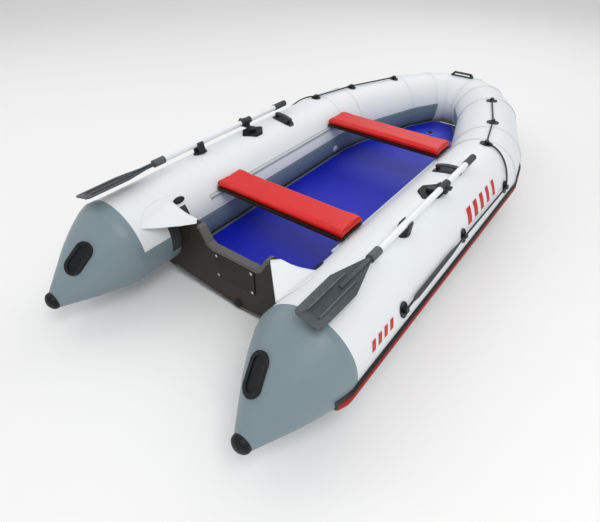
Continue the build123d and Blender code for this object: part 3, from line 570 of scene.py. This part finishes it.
def make_finishes():
    """Every finish of the boat, by a short name."""
    c = bpy.context.scene.dinghy_colours
    return {
        "tube": fabric("tube_fabric_white", c.tube, mottle=0.03, depth=0.10),
        "cone": fabric("cone_fabric_grey", c.cone, mottle=0.10, depth=0.12),
        "bottom": fabric("bottom_fabric_grey", c.bottom, mottle=0.16, depth=0.16),
        "deck": fabric("deck_fabric_blue", c.deck, threads=420.0, mottle=0.16, depth=0.35,
                       specular=0.5),
        "patch": fabric("deck_patch_blue", c.patch, threads=420.0, mottle=0.12, depth=0.2),
        "cushion": fabric("cushion_cover_red", c.cushion, threads=700.0, mottle=0.10,
                          depth=0.35, creases=1.2, specular=0.5),
        "piping": moulded("piping_dark", (0.05, 0.008, 0.008), dust=0.05, wear=0.1),
        "rib": moulded("strake_rib_red", c.rib, dust=0.03, wear=0.1, worn=(0.5, 0.2, 0.17)),
        "strake": moulded("strake_charcoal", c.strake, dust=0.05, wear=0.2),
        "moulding": moulded("moulding_black", c.moulding, dust=0.03, wear=0.2),
        "profile": moulded("profile_rubber_grey", c.profile, dust=0.08, wear=0.2),
        "flange": moulded("flange_rubber_ribbed", (0.012, 0.013, 0.014), dust=0.06, wear=0.2,
                          ribs=45.0, depth=0.8),
        "board": timber("transom_plywood", c.board),
        "pale": moulded("plastic_pale", c.pale, dust=0.12, wear=0.1, worn=(0.9, 0.9, 0.9)),
        "steel": painted("bolt_steel", (0.62, 0.62, 0.61), metallic=1.0, roughness=0.32),
        "shaft": painted("shaft_white_paint", c.shaft, roughness=0.28),
        "blade": moulded("blade_plastic_grey", c.blade, dust=0.06, wear=0.3,
                         worn=(0.5, 0.53, 0.55), depth=0.3),
        "grip": moulded("grip_rubber", (0.035, 0.038, 0.042), ribs=38.0, depth=0.7, dust=0.03),
        "rope": moulded("rope_black", (0.018, 0.019, 0.021), dust=0.03, wear=0.15, grain=2400.0),
        "sleeve": moulded("sleeve_rubber", (0.045, 0.05, 0.055), dust=0.08, wear=0.2,
                          ribs=30.0, depth=0.4),
        "graphic": fabric("stripes_red", c.graphic, mottle=0.05, depth=0.08),
    }


GROUPS = {}
FINISH = {}


def need(kit, name):
    if name not in kit:
        raise RuntimeError("the finishes have to be made first")
    return kit[name]


def finish_of(name):
    return need(FINISH, name)


def dress(node, finish, bevel=0.0):
    """Gives a CAD node its finish, and softens its moulded edges."""
    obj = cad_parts[node]
    obj.data.materials.clear()
    obj.data.materials.append(finish_of(finish))
    if bevel:
        soft = obj.modifiers.new("soft_edges", "BEVEL")
        soft.width = bevel
        soft.segments = 2
        soft.limit_method = "ANGLE"
        soft.angle_limit = math.radians(40)
        soft.use_clamp_overlap = True
    return obj


# ---------------------------------------------------------------- pieces
class DINGHY_OT_finishes(bpy.types.Operator):
    """Make the shader groups and the finishes that the pieces wear"""
    bl_idname = "dinghy.finishes"
    bl_label = "Finishes"

    def execute(self, context):
        GROUPS.update(make_groups())
        FINISH.update(make_finishes())
        return {"FINISHED"}


# Control points of the starboard grab line, from its forward end, in metres.
LINE_POINTS = [
    (0.3901, 1.1588, 0.5195), (0.5193, 0.7965, 0.5282), (0.5395, 0.7400, 0.5296),
    (0.5532, 0.6816, 0.5300), (0.6070, 0.4514, 0.5317), (0.6207, 0.3930, 0.5321),
    (0.6968, 0.3800, 0.5124), (0.7593, 0.3450, 0.4719), (0.8018, 0.3000, 0.4211),
    (0.8276, 0.2550, 0.3646), (0.8273, 0.1950, 0.3655), (0.8246, -0.3050, 0.3735),
    (0.8243, -0.3650, 0.3744), (0.8244, -0.4250, 0.3740), (0.8257, -1.0180, 0.3704),
]


def line_points(side):
    """Points read from the route's own spline."""
    curve = bpy.data.curves.new("line_route", "CURVE")
    curve.dimensions = "3D"
    curve.resolution_u = 24
    spline = curve.splines.new("NURBS")
    spline.points.add(len(LINE_POINTS) - 1)
    for point, (x, y, z) in zip(spline.points, LINE_POINTS):
        point.co = (side * x, y, z, 1.0)
    spline.order_u = 3
    spline.use_endpoint_u = True
    holder = bpy.data.objects.new("line_route", curve)
    mesh = bpy.data.meshes.new_from_object(holder)
    points = [v.co.copy() for v in mesh.vertices]
    bpy.data.objects.remove(holder)
    bpy.data.curves.remove(curve)
    bpy.data.meshes.remove(mesh)
    return points


def at_steps(points, step):
    """The same line with points an even step apart."""
    gone = [0.0]
    for a, b in zip(points, points[1:]):
        gone.append(gone[-1] + (b - a).length)
    count = max(2, int(gone[-1] / step))
    where = np.linspace(0, gone[-1], count)
    axes = [np.interp(where, gone, [p[k] for p in points]) for k in range(3)]
    return [Vector(p) for p in zip(*axes)]


class DINGHY_OT_grab_lines(bpy.types.Operator):
    """Lay the two grab lines and the sleeve on each"""
    bl_idname = "dinghy.grab_lines"
    bl_label = "Grab lines"

    def execute(self, context):
        size = context.scene.dinghy_sizes
        for side, name in ((1, "starboard"), (-1, "port")):
            path = at_steps(line_points(side), 0.004)
            verts, faces = tube_along(path, size.rope_diameter / 2, sides=12, twist=260.0,
                                      strands=3, depth=0.0009)
            rope = piece(f"{name}_grab_line", verts, faces, [finish_of("rope")],
                         node=f"{name}_grab_rope", sharp=80)
            over = [p for p in path if -0.93 < p.y < -0.46]
            thick = size.sleeve_diameter / 2
            thin = size.rope_diameter / 2 + 0.0006
            radii = []
            for k in range(len(over)):
                t = k / (len(over) - 1)
                swell = min(1.0, t / 0.22, (1 - t) / 0.10)
                radii.append(thin + (thick - thin) * math.sin(swell * math.pi / 2)
                             * (0.72 + 0.28 * t))
            verts, faces = tube_along(over, radii, sides=20)
            sleeve = piece(f"{name}_line_sleeve", verts, faces, [finish_of("sleeve")],
                           sharp=80)
        return {"FINISHED"}


def tube_piece(name, first, last, node, all_white=False):
    """One chamber's skin, white outside and grey inboard, with fine creases at its seams."""
    size = bpy.context.scene.dinghy_sizes
    around = size.round_steps
    places = []
    for i in range(first, last):
        steps = max(6, int(run_length(i) / 0.03))
        near = 0.012 / run_length(i)
        row = sorted(set([0.0, near, 2 * near, 4 * near] + list(np.linspace(5 * near, 1 - 5 * near, steps))
                         + [1 - 4 * near, 1 - 2 * near, 1 - near]))
        places += [i + t for t in row]
    places.append(float(last))
    verts = []
    for s in places:
        i = min(int(s), LAST - 1)
        t = s - i
        gap = min(t, 1 - t) * run_length(i)
        at_seam = math.exp(-(gap / 0.030) ** 2) if 0 < gap else 0.0
        full = math.sin(math.pi * t)
        for j in range(around):
            a = -math.pi + 2 * math.pi * j / around
            inboard = 0.5 - 0.5 * math.sin(a)
            ripple = noise.noise(Vector((math.sin(a) * 7 + i, math.cos(a) * 7, s * 0.3)))
            crease = noise.noise(Vector((math.sin(a) * 26, math.cos(a) * 26, i * 3.7)))
            lift = 0.0012 * full + 0.0005 * ripple * full
            lift -= size.pucker * at_seam * (0.4 + 0.6 * inboard) * (0.5 + crease)
            verts.append(skin_point(s, a, lift))
    faces = grid_faces(len(places), around, close=True)
    slots = []
    low = math.radians(141)
    for k in range(len(faces)):
        a = -math.pi + 2 * math.pi * (k % around + 0.5) / around
        grey = a < size.colour_break or a > low
        if all_white:
            grey = abs(a) > low
        slots.append(1 if grey else 0)
    return piece(name, verts, faces, [finish_of("tube"), finish_of("cone")], slots,
                 node=node, sharp=80)


class DINGHY_OT_tubes(bpy.types.Operator):
    """Build the skins of the side, shoulder and bow tubes"""
    bl_idname = "dinghy.tubes"
    bl_label = "Tubes"

    def execute(self, context):
        tube_piece("starboard_side_skin", 0, SHOULDER, "starboard_side_tube")
        tube_piece("starboard_shoulder_skin", SHOULDER, BOW, "starboard_shoulder_tube")
        tube_piece("bow_skin", BOW, LAST - BOW, "bow_tube", all_white=True)
        tube_piece("port_shoulder_skin", LAST - BOW, LAST - SHOULDER,
                   "port_shoulder_tube")
        tube_piece("port_side_skin", LAST - SHOULDER, LAST, "port_side_tube")
        return {"FINISHED"}


def ring_band(i, width, lift, around, low=-math.pi, high=math.pi):
    """A tape over the seam at chain point i, half its width on each run."""
    rows = []
    for back, offset in ((1, 0.5), (1, 0.38), (0, 0.0), (2, 0.38), (2, 0.5)):
        row = []
        for j in range(around + 1):
            a = low + (high - low) * j / around
            if back == 1 and i > 0:
                s = i - offset * width / run_length(i - 1)
            elif back == 2 and i < LAST:
                s = i + offset * width / run_length(i)
            else:
                s = float(i)
            row.append(lambda up, s=s, a=a: skin_point(s, a, up + 0.0013))
        rows.append(row)
    return ribbon(rows, lift)


class DINGHY_OT_seams(bpy.types.Operator):
    """Lay the tapes over the tubes' seams and along the colour break"""
    bl_idname = "dinghy.seams"
    bl_label = "Seam tapes"

    def execute(self, context):
        size = context.scene.dinghy_sizes
        around = size.round_steps
        bands = [ring_band(i, size.tape_width, size.tape_lift, around,
                           size.colour_break, math.radians(141)) for i in range(1, LAST)]
        verts, faces = join_parts(bands)
        piece("seam_tapes", verts, faces, [finish_of("tube")], sharp=80)
        bands = []
        for first, last in ((0, BOW), (LAST - BOW, LAST)):
            count = 220
            rows = []
            for shift in (-0.5, -0.4, 0.0, 0.4, 0.5):
                row = []
                for k in range(count + 1):
                    s = first + (last - first) * k / count
                    i = min(int(s), LAST - 1)
                    a = size.colour_break + shift * size.tape_width / CHAIN[i][2]
                    row.append(lambda up, s=s, a=a: skin_point(s, a, up + 0.0014))
                rows.append(row)
            bands.append(ribbon(rows, size.tape_lift))
        verts, faces = join_parts(bands)
        piece("colour_break_tapes", verts, faces, [finish_of("cone")],
              sharp=80)
        return {"FINISHED"}


class DINGHY_OT_cones(bpy.types.Operator):
    """Build the tail cones with their collars and weld lines"""
    bl_idname = "dinghy.cones"
    bl_label = "Tail cones"

    def execute(self, context):
        size = context.scene.dinghy_sizes
        around = size.round_steps
        for side, name in ((1, "starboard"), (-1, "port")):
            rows = 44
            verts = []
            for k in range(rows + 1):
                share = k / rows
                for j in range(around):
                    a = -math.pi + 2 * math.pi * j / around
                    dent = noise.noise(Vector((math.sin(a) * 5, math.cos(a) * 5, share * 4)))
                    fold = math.exp(-((1 - share) / 0.16) ** 2) * math.cos(8 * a)
                    lift = 0.0008 * dent - 0.0012 * max(0.0, fold)
                    verts.append(cone_point(share, a, lift * min(1.0, share * 8), side))
            faces = grid_faces(rows + 1, around, close=True)
            piece(f"{name}_cone_skin", verts, faces, [finish_of("cone")],
                  node=f"{name}_tail_cone", sharp=80)
            band = []
            for share in (1.0, 0.93, 0.5, 0.0, -0.45, -0.5):
                row = []
                for j in range(around + 1):
                    a = -math.pi + 2 * math.pi * j / around
                    if share >= 0:
                        y = CHAIN[0][1] + share * size.collar
                        row.append(lambda up, y=y, a=a: side_point(
                            y, math.degrees(a), up + 0.0012, side))
                    else:
                        near = -share * size.collar / CONE_LENGTH
                        row.append(lambda up, near=near, a=a: cone_point(near, a, up, side))
                band.append(row)
            verts, faces = ribbon(band, size.tape_lift)
            piece(f"{name}_cone_collar", verts, faces, [finish_of("cone")],
                  sharp=80)
            ring = [side_point(CHAIN[0][1] - 0.001, 360 * j / 144, 0.0012, side)
                    for j in range(144)]
            verts, faces = tube_along(ring, 0.0012, sides=8, closed=True)
            piece(f"{name}_cone_weld", verts, faces, [finish_of("cone")])
        return {"FINISHED"}


def strake_outline():
    """Angle, height and finish (0 rubber, 1 red) across the strake, from its top edge down."""
    outline = [(STRAKE_TOP, 0.0004, 0)]
    for k in range(7):
        t = math.pi * k / 6
        outline.append((STRAKE_TOP + 0.4 + 1.1 * (1 - math.cos(t)), 0.004 + 0.012 * math.sin(t), 0))
    start, end, ribs = 95.8, 114.4, 4
    pitch = (end - start) / ribs
    for r in range(ribs):
        for k in range(9):
            t = math.pi * k / 8
            a = start + pitch * (r + 0.10 + 0.40 * (1 - math.cos(t)))
            outline.append((a, 0.0050 + 0.0147 * math.sin(t) ** 0.7, 1 if 0 < k < 8 else 0))
    for k in range(9):
        t = math.pi * k / 8
        outline.append((114.7 + 2.05 * (1 - math.cos(t)), 0.004 + 0.012 * math.sin(t) ** 0.8, 0))
    outline.append((STRAKE_FOOT, 0.0004, 0))
    return outline


class DINGHY_OT_strake(bpy.types.Operator):
    """Build the ribbed rubbing strake round the outside of the tubes"""
    bl_idname = "dinghy.strake"
    bl_label = "Rubbing strake"

    def execute(self, context):
        outline = strake_outline()
        verts, places = [], []
        cone_share = CONE_STEPS[1][0]
        steps = 7
        for k in range(steps):
            places.append(("cone", cone_share * (1 - k / steps), 1))
        for i in range(LAST):
            count = max(2, int(run_length(i) / 0.08))
            places += [("tube", i + k / count, 0) for k in range(count)]
        places.append(("tube", float(LAST), 0))
        for k in range(1, steps + 1):
            places.append(("cone", cone_share * k / steps, -1))
        for kind, where, side in places:
            slant = 0.0
            for degrees, height, _ in outline:
                a = math.radians(degrees)
                if kind == "cone":
                    share = (degrees - STRAKE_TOP) / (STRAKE_FOOT - STRAKE_TOP)
                    slant = 0.030 * share * (where / cone_share)
                    p = cone_point(where, a, height, side)
                    p.y += slant - 0.004
                else:
                    p = skin_point(where, a, height)
                verts.append(p)
        faces = grid_faces(len(places), len(outline))
        slots = []
        across = len(outline) - 1
        for k in range(len(faces)):
            j = k % across
            slots.append(1 if outline[j][2] and outline[j + 1][2] else 0)
        count = len(outline)
        faces.append(tuple(range(count)))
        faces.append(tuple(reversed(range(len(verts) - count, len(verts)))))
        slots += [0, 0]
        piece("ribbed_strake", verts, faces, [finish_of("strake"), finish_of("rib")], slots,
              node="rubbing_strake", sharp=60)
        return {"FINISHED"}


def inset_outline(points, depth):
    """A convex outline moved in by depth."""
    lines = []
    count = len(points)
    for k in range(count):
        a, b = np.array(points[k]), np.array(points[(k + 1) % count])
        along = (b - a) / np.linalg.norm(b - a)
        lines.append((a + depth * np.array((-along[1], along[0])), along))
    moved = []
    for k in range(count):
        (p, u), (q, v) = lines[k - 1], lines[k]
        t = np.linalg.solve(np.array([u, -v]).T, q - p)[0]
        moved.append(p + t * u)
    return moved


class DINGHY_OT_deck(bpy.types.Operator):
    """Build the inflated floor with its edge tape and valve patch"""
    bl_idname = "dinghy.deck"
    bl_label = "Floor"

    def execute(self, context):
        (_, low_y, low_z), (high_x, high_y, high_z) = [tuple(p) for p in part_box("deck")]
        side = [(high_x, low_y)]
        for i in (1, 2, 3):
            x, y, r = CHAIN[i]
            turn, half = mitre(i)
            edge = DECK_EDGE * r / CHAIN[0][2] / math.cos(half)
            side.append((x - edge * math.cos(turn), y - edge * math.sin(turn)))
        side.append((DECK_FRONT_HALF, high_y))
        outline = side + [(-x, y) for x, y in reversed(side)]
        middle = (low_z + high_z) / 2
        half_thick = (high_z - low_z) / 2
        rings = [(0.10, low_z)]
        for k in range(13):
            t = -math.pi / 2 + math.pi * k / 12
            rings.append((DECK_ROUND * (1 - math.cos(t)), middle + half_thick * math.sin(t)))
        rings += [(0.040, high_z), (0.042, high_z - 0.0008), (0.05, high_z - 0.0004),
                  (0.10, high_z)]
        verts, per = [], 0
        for depth, z in rings:
            corners = inset_outline(outline, depth)
            per = 0
            for k, a in enumerate(corners):
                b = corners[(k + 1) % len(corners)]
                count = max(1, int(np.linalg.norm(np.array(outline[(k + 1) % len(corners)])
                                                  - np.array(outline[k])) / 0.08))
                for m in range(count):
                    p = a + (b - a) * m / count
                    ripple = 0.0006 * noise.noise(Vector((p[0] * 9, p[1] * 9, depth * 30)))
                    verts.append((p[0], p[1], z - (ripple if depth > 0.033 else 0)))
                    per += 1
        faces = grid_faces(len(rings), per, close=True)
        slots = [0 if k // per >= 14 else 1 for k in range(len(faces))]
        faces.append(tuple(reversed(range(per))))
        faces.append(tuple(range((len(rings) - 1) * per, len(rings) * per)))
        slots += [1, 0]
        piece("floor_skin", verts, faces, [finish_of("deck"), finish_of("bottom")], slots,
              node="deck", sharp=60)
        lo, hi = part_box("floor_valve_cap")
        cx, cy = (lo[0] + hi[0]) / 2, (lo[1] + hi[1]) / 2
        verts = []
        rows = ((0.100, 0.0002), (0.097, 0.0012), (0.060, 0.0012), (0.030, 0.0012))
        for radius, lift in rows:
            for j in range(72):
                t = 2 * math.pi * j / 72
                verts.append((cx + radius * math.cos(t), cy + radius * math.sin(t), high_z + lift))
        faces = grid_faces(len(rows), 72, close=True)
        faces.append(tuple(range(3 * 72, 4 * 72)))
        piece("floor_valve_patch", verts, faces, [finish_of("patch")])
        return {"FINISHED"}


def filled_cushion(name, box, size):
    """A cover over foam: a slightly small block that pressure swells, with a flat foot."""
    (low_x, low_y, low_z), (high_x, high_y, high_z) = box
    inset = size.cushion_swell * 0.95
    block = bmesh.new()
    bmesh.ops.create_cube(block, size=1.0)
    for v in block.verts:
        v.co = Vector(((high_x - low_x - 2 * inset) * v.co.x + (low_x + high_x) / 2,
                       (high_y - low_y - 2 * inset) * v.co.y + (low_y + high_y) / 2,
                       (high_z - low_z - inset - 0.0015) * (v.co.z + 0.5) + low_z + 0.001))
    bmesh.ops.bevel(block, geom=block.edges[:], offset=0.006, segments=3, affect="EDGES")
    mesh = bpy.data.meshes.new(name)
    block.to_mesh(mesh)
    block.free()
    obj = bpy.data.objects.new(name, mesh)
    bpy.context.scene.collection.objects.link(obj)
    remesh = obj.modifiers.new("even_mesh", "REMESH")
    remesh.mode = "VOXEL"
    remesh.voxel_size = size.cushion_voxel
    even = bpy.data.meshes.new_from_object(
        obj.evaluated_get(bpy.context.evaluated_depsgraph_get()))
    obj.modifiers.clear()
    obj.data = even
    start = np.empty(len(even.vertices) * 3)
    even.vertices.foreach_get("co", start)
    start = start.reshape(-1, 3)
    cloth = obj.modifiers.new("cover", "CLOTH")
    cloth.settings.use_pressure = True
    cloth.settings.uniform_pressure_force = size.cushion_pressure
    cloth.settings.effector_weights.gravity = 0.0
    cloth.settings.quality = 5
    cloth.point_cache.frame_start, cloth.point_cache.frame_end = 1, 20
    scene = bpy.context.scene
    for step in range(1, 21):
        scene.frame_set(step)
    swollen = bpy.data.meshes.new_from_object(
        obj.evaluated_get(bpy.context.evaluated_depsgraph_get()))
    obj.modifiers.clear()
    scene.frame_set(1)
    moved = np.empty(len(swollen.vertices) * 3)
    swollen.vertices.foreach_get("co", moved)
    move = moved.reshape(-1, 3) - start
    far = np.linalg.norm(move, axis=1, keepdims=True)
    move *= np.minimum(1.0, size.cushion_swell / np.maximum(far, 1e-9))
    places = start + move
    middle_y = (low_y + high_y) / 2
    for k, (x, y, z) in enumerate(places):
        edge = max(0.0, (abs(y - middle_y) - 0.075) / 0.03)
        fold = noise.noise(Vector((x * 34 + y * 9, z * 22, 1.7))) * min(edge, 1.0)
        broad = noise.noise(Vector((x * 7, y * 9, 3.1)))
        if z > low_z + 0.004:
            places[k][1] += math.copysign(0.0022 * fold, y - middle_y)
            places[k][2] += 0.0014 * broad
        places[k][2] = max(places[k][2], low_z + 0.0006)
    obj.data.vertices.foreach_set("co", places.ravel())
    obj.data.update()
    subdivide = obj.modifiers.new("smooth", "SUBSURF")
    subdivide.levels = subdivide.render_levels = 1
    final = bpy.data.meshes.new_from_object(
        obj.evaluated_get(bpy.context.evaluated_depsgraph_get()))
    obj.modifiers.clear()
    obj.data = final
    final.materials.clear()
    final.materials.append(finish_of("cushion"))
    final.shade_smooth()
    return obj


def on_cover(tree, points, lift):
    """Points pulled to the nearest place on a cover."""
    placed = []
    for p in points:
        spot, normal, _, _ = tree.find_nearest(p)
        placed.append(spot + normal * lift)
    return placed


class DINGHY_OT_cushions(bpy.types.Operator):
    """Fill the bench cushions and sew their piping"""
    bl_idname = "dinghy.cushions"
    bl_label = "Cushions"

    def execute(self, context):
        size = context.scene.dinghy_sizes
        for place in ("rear", "front"):
            box = [tuple(p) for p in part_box(f"{place}_cushion")]
            cushion = filled_cushion(f"{place}_bench_cushion", box, size)
            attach(cushion, f"{place}_bench")
            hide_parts(f"{place}_cushion")
            cover = BVHTree.FromPolygons([v.co for v in cushion.data.vertices],
                                         [p.vertices[:] for p in cushion.data.polygons])
            (low_x, low_y, low_z), (high_x, high_y, high_z) = box
            parts = []
            for x in (low_x + PIPING_IN, high_x - PIPING_IN):
                loop = []
                for a, b in (((low_y, low_z), (low_y, high_z)), ((low_y, high_z), (high_y, high_z)),
                             ((high_y, high_z), (high_y, low_z))):
                    for k in range(PIPING_STEPS):
                        t = k / PIPING_STEPS
                        y = a[0] + (b[0] - a[0]) * t
                        z = a[1] + (b[1] - a[1]) * t
                        loop.append(Vector((x, y, z)))
                route = on_cover(cover, loop, PIPING_LIFT)
                parts.append(tube_along(route, PIPING_RADIUS, sides=8))
            verts, faces = join_parts(parts)
            piece(f"{place}_cushion_piping", verts, faces, [finish_of("piping")],
                  body=f"{place}_bench")
            dress(f"{place}_bench_board", "board", 0.0015)
            dress(f"{place}_bench_sliders", "pale", 0.001)
        return {"FINISHED"}


class DINGHY_OT_transom(bpy.types.Operator):
    """Finish the transom and stretch the fabric webs at its corners"""
    bl_idname = "dinghy.transom"
    bl_label = "Transom"

    def execute(self, context):
        dress("transom_board", "board")
        dress("transom_top_profile", "profile", 0.001)
        dress("transom_bottom_strip", "profile")
        dress("transom_flanges", "flange")
        dress("motor_pads", "board", 0.001)
        dress("pad_bolts", "steel")
        dress("drain_body", "moulding", 0.0012)
        dress("drain_plug", "moulding", 0.0008)
        dress("chamber_bulkheads", "tube")
        dress("hull_bottom", "bottom")
        dress("keel_tube", "bottom")
        for side, name in ((1, "starboard"), (-1, "port")):
            web_points(name, side)
        return {"FINISHED"}


def web_points(name, side):
    """One corner web: from the board's shoulder out to the tube, and a tab along the skin."""
    rows, columns = 15, 21
    verts = []
    top = Vector((side * 0.231, -1.152, 0.4355))
    end = Vector((side * 0.262, -1.118, 0.4340))
    for i in range(rows):
        u = i / (rows - 1)
        for j in range(columns):
            v = j / (columns - 1)
            y = -1.340 + (-1.112 + 1.340) * v
            degrees = -54 + 12 * v
            near = top.lerp(end, v)
            far = side_point(y, degrees, 0.0022, side)
            tab = side_point(y + 0.006 * math.sin(9 * v), degrees + 14 * (1 - abs(2 * v - 1) ** 3),
                             0.0020, side)
            split = 0.68
            if u < split:
                t = u / split
                p = near.lerp(far, t)
                p.z -= 0.012 * math.sin(math.pi * t) * (0.4 + 0.6 * v)
                p.z += 0.0018 * noise.noise(Vector((t * 5, v * 7, side)))
            else:
                t = (u - split) / (1 - split)
                y2 = y + (0.006 * math.sin(9 * v)) * t
                p = side_point(y2, degrees + 14 * (1 - abs(2 * v - 1) ** 3) * t, 0.0022, side)
                p = p if t < 1 else tab
            verts.append(p)
    faces = grid_faces(rows, columns)
    web = piece(f"{name}_corner_web", verts, faces, [finish_of("tube")],
                node="transom_gussets", sharp=80)
    thick = web.modifiers.new("cloth_thickness", "SOLIDIFY")
    thick.thickness = 0.0012
    thick.offset = 0.0
    return web



class DINGHY_OT_fittings(bpy.types.Operator):
    """Finish the handles, holders, oars, oarlocks, rails and valves"""
    bl_idname = "dinghy.fittings"
    bl_label = "Fittings"

    def execute(self, context):
        for node in ("carry_handles", "bow_handle", "cone_handles", "gusset_lugs",
                     "rope_holders", "oar_holders"):
            dress(node, "moulding", 0.0012)
        dress("cone_caps", "moulding")
        dress("bench_rails", "pale")
        dress("valve_bodies", "pale", 0.0006)
        for name in ("starboard", "port", "bow", "floor"):
            dress(f"{name}_valve_poppet", "pale")
            dress(f"{name}_valve_cap", "moulding" if name == "floor" else "pale", 0.0006)
        for side in ("starboard", "port"):
            dress(f"{side}_oarlock_base", "moulding", 0.0012)
            dress(f"{side}_oarlock_swivel", "moulding", 0.0010)
            dress(f"{side}_thole_bolt", "moulding", 0.0008)
            dress(f"{side}_oar_collar", "moulding", 0.0010)
            dress(f"{side}_oar_shaft", "shaft")
            dress(f"{side}_oar_grip", "grip")
            dress(f"{side}_oar_blade", "blade", 0.0010)
        return {"FINISHED"}


def stripe(corners, lift, side):
    """A flat mark on the tube between four (y, degrees) corners."""
    rows, columns = 9, 9
    (ay, aa), (by, ba), (cy, ca), (dy, da) = corners
    verts = []
    for i in range(rows):
        u = i / (rows - 1)
        for j in range(columns):
            v = j / (columns - 1)
            y = (ay * (1 - v) + by * v) * (1 - u) + (dy * (1 - v) + cy * v) * u
            a = (aa * (1 - v) + ba * v) * (1 - u) + (da * (1 - v) + ca * v) * u
            verts.append(side_point(y, a, lift, side))
    return verts, grid_faces(rows, columns)


class DINGHY_OT_stripes(bpy.types.Operator):
    """Lay plain slanted stripes on the tubes"""
    bl_idname = "dinghy.stripes"
    bl_label = "Stripes"

    def execute(self, context):
        lift = 0.0024
        for side, name in ((1, "starboard"), (-1, "port")):
            bars = []
            for k in range(5):
                y = -0.30 + 0.088 * k
                wide = 0.050 - 0.004 * k
                bars.append(stripe([(y, 66), (y + wide, 66), (y + wide + 0.035, 47),
                                    (y + 0.035, 47)], lift, side))
            for k in range(4):
                y = -1.265 + 0.046 * k
                bars.append(stripe([(y, 77), (y + 0.024, 77), (y + 0.038, 66),
                                    (y + 0.014, 66)], lift, side))
            verts, faces = join_parts(bars)
            piece(f"{name}_stripes", verts, faces, [finish_of("graphic")])
        return {"FINISHED"}


class DINGHY_OT_stage(bpy.types.Operator):
    """Set the floor, the soft lights and the camera"""
    bl_idname = "dinghy.stage"
    bl_label = "Studio"

    def execute(self, context):
        scene = context.scene
        colour = scene.dinghy_colours.floor
        mesh = bpy.data.meshes.new("studio_floor")
        corners = [(-1, -1), (1, -1), (1, 1), (-1, 1)]
        mesh.from_pydata([(x * FLOOR_REACH, y * FLOOR_REACH, 0) for x, y in corners],
                         [], [(0, 1, 2, 3)])
        floor = bpy.data.objects.new("studio_floor", mesh)
        mat, _, shader, _ = start_material("studio_floor")
        shader.inputs["Base Color"].default_value = (*colour, 1.0)
        shader.inputs["Roughness"].default_value = 0.9
        mesh.materials.append(mat)
        scene.collection.objects.link(floor)
        floor.location.z = -0.0005
        for name, place, power, size in LIGHTS:
            lamp = bpy.data.lights.new(name, "AREA")
            lamp.energy = power
            lamp.size = size
            holder = bpy.data.objects.new(name, lamp)
            holder.location = place
            aim = LIGHT_AIM - Vector(place)
            holder.rotation_mode = "QUATERNION"
            holder.rotation_quaternion = aim.to_track_quat("-Z", "Y")
            scene.collection.objects.link(holder)
        world = bpy.data.worlds.new("studio_light")
        world.use_nodes = True
        back = world.node_tree.nodes["Background"]
        back.inputs["Color"].default_value = (1.0, 1.0, 1.0, 1.0)
        back.inputs["Strength"].default_value = SKY_LIGHT
        scene.world = world
        scene.view_settings.view_transform = "Standard"
        azimuth, elevation, roll = (math.radians(a) for a in CAMERA_TURN)
        back_way = Vector((math.sin(azimuth) * math.cos(elevation),
                           -math.cos(azimuth) * math.cos(elevation), math.sin(elevation)))
        right = (-back_way).cross(Vector((0, 0, 1))).normalized()
        up = right.cross(-back_way)
        cam = bpy.data.cameras.new("camera")
        cam.sensor_width = SENSOR
        cam.lens = LENS
        cam.clip_start, cam.clip_end = 0.05, 100.0
        holder = bpy.data.objects.new("camera", cam)
        across = right * math.cos(roll) + up * math.sin(roll)
        upright = up * math.cos(roll) - right * math.sin(roll)
        holder.matrix_world = turned_axes(across, upright, back_way)
        holder.location = CAMERA_AT
        scene.collection.objects.link(holder)
        scene.camera = holder
        return {"FINISHED"}


def turned_axes(x, y, z):
    """A turn whose axes are the three given directions."""
    return Matrix((x, y, z)).transposed().to_4x4()


class DINGHY_PT_panel(bpy.types.Panel):
    """The boat's sizes, colours and pieces"""
    bl_label = "Dinghy"
    bl_idname = "DINGHY_PT_panel"
    bl_space_type = "VIEW_3D"
    bl_region_type = "UI"
    bl_category = "Dinghy"

    def draw(self, context):
        layout = self.layout
        for title, group in (("Sizes", context.scene.dinghy_sizes),
                             ("Colours", context.scene.dinghy_colours)):
            box = layout.box()
            box.label(text=title)
            for key in group.bl_rna.properties.keys():
                if key not in ("rna_type", "name"):
                    box.prop(group, key)
        for operator in OPERATORS:
            layout.operator(operator.bl_idname)


OPERATORS = (
    DINGHY_OT_finishes, DINGHY_OT_stage, DINGHY_OT_grab_lines, DINGHY_OT_tubes,
    DINGHY_OT_seams, DINGHY_OT_cones, DINGHY_OT_strake, DINGHY_OT_deck,
    DINGHY_OT_cushions, DINGHY_OT_transom, DINGHY_OT_fittings, DINGHY_OT_stripes,
)
CLASSES = (DinghySizes, DinghyColours, *OPERATORS, DINGHY_PT_panel)


def register():
    for cls in CLASSES:
        bpy.utils.register_class(cls)
    bpy.types.Scene.dinghy_sizes = PointerProperty(type=DinghySizes)
    bpy.types.Scene.dinghy_colours = PointerProperty(type=DinghyColours)


def unregister():
    del bpy.types.Scene.dinghy_sizes
    del bpy.types.Scene.dinghy_colours
    for cls in reversed(CLASSES):
        bpy.utils.unregister_class(cls)


def main():
    register()
    for operator in OPERATORS:
        step = getattr(bpy.ops.dinghy, operator.bl_idname.split(".")[1])
        if step() != {"FINISHED"}:
            raise RuntimeError(f"{operator.bl_label} didn't finish")


if __name__ == "__main__":
    main()
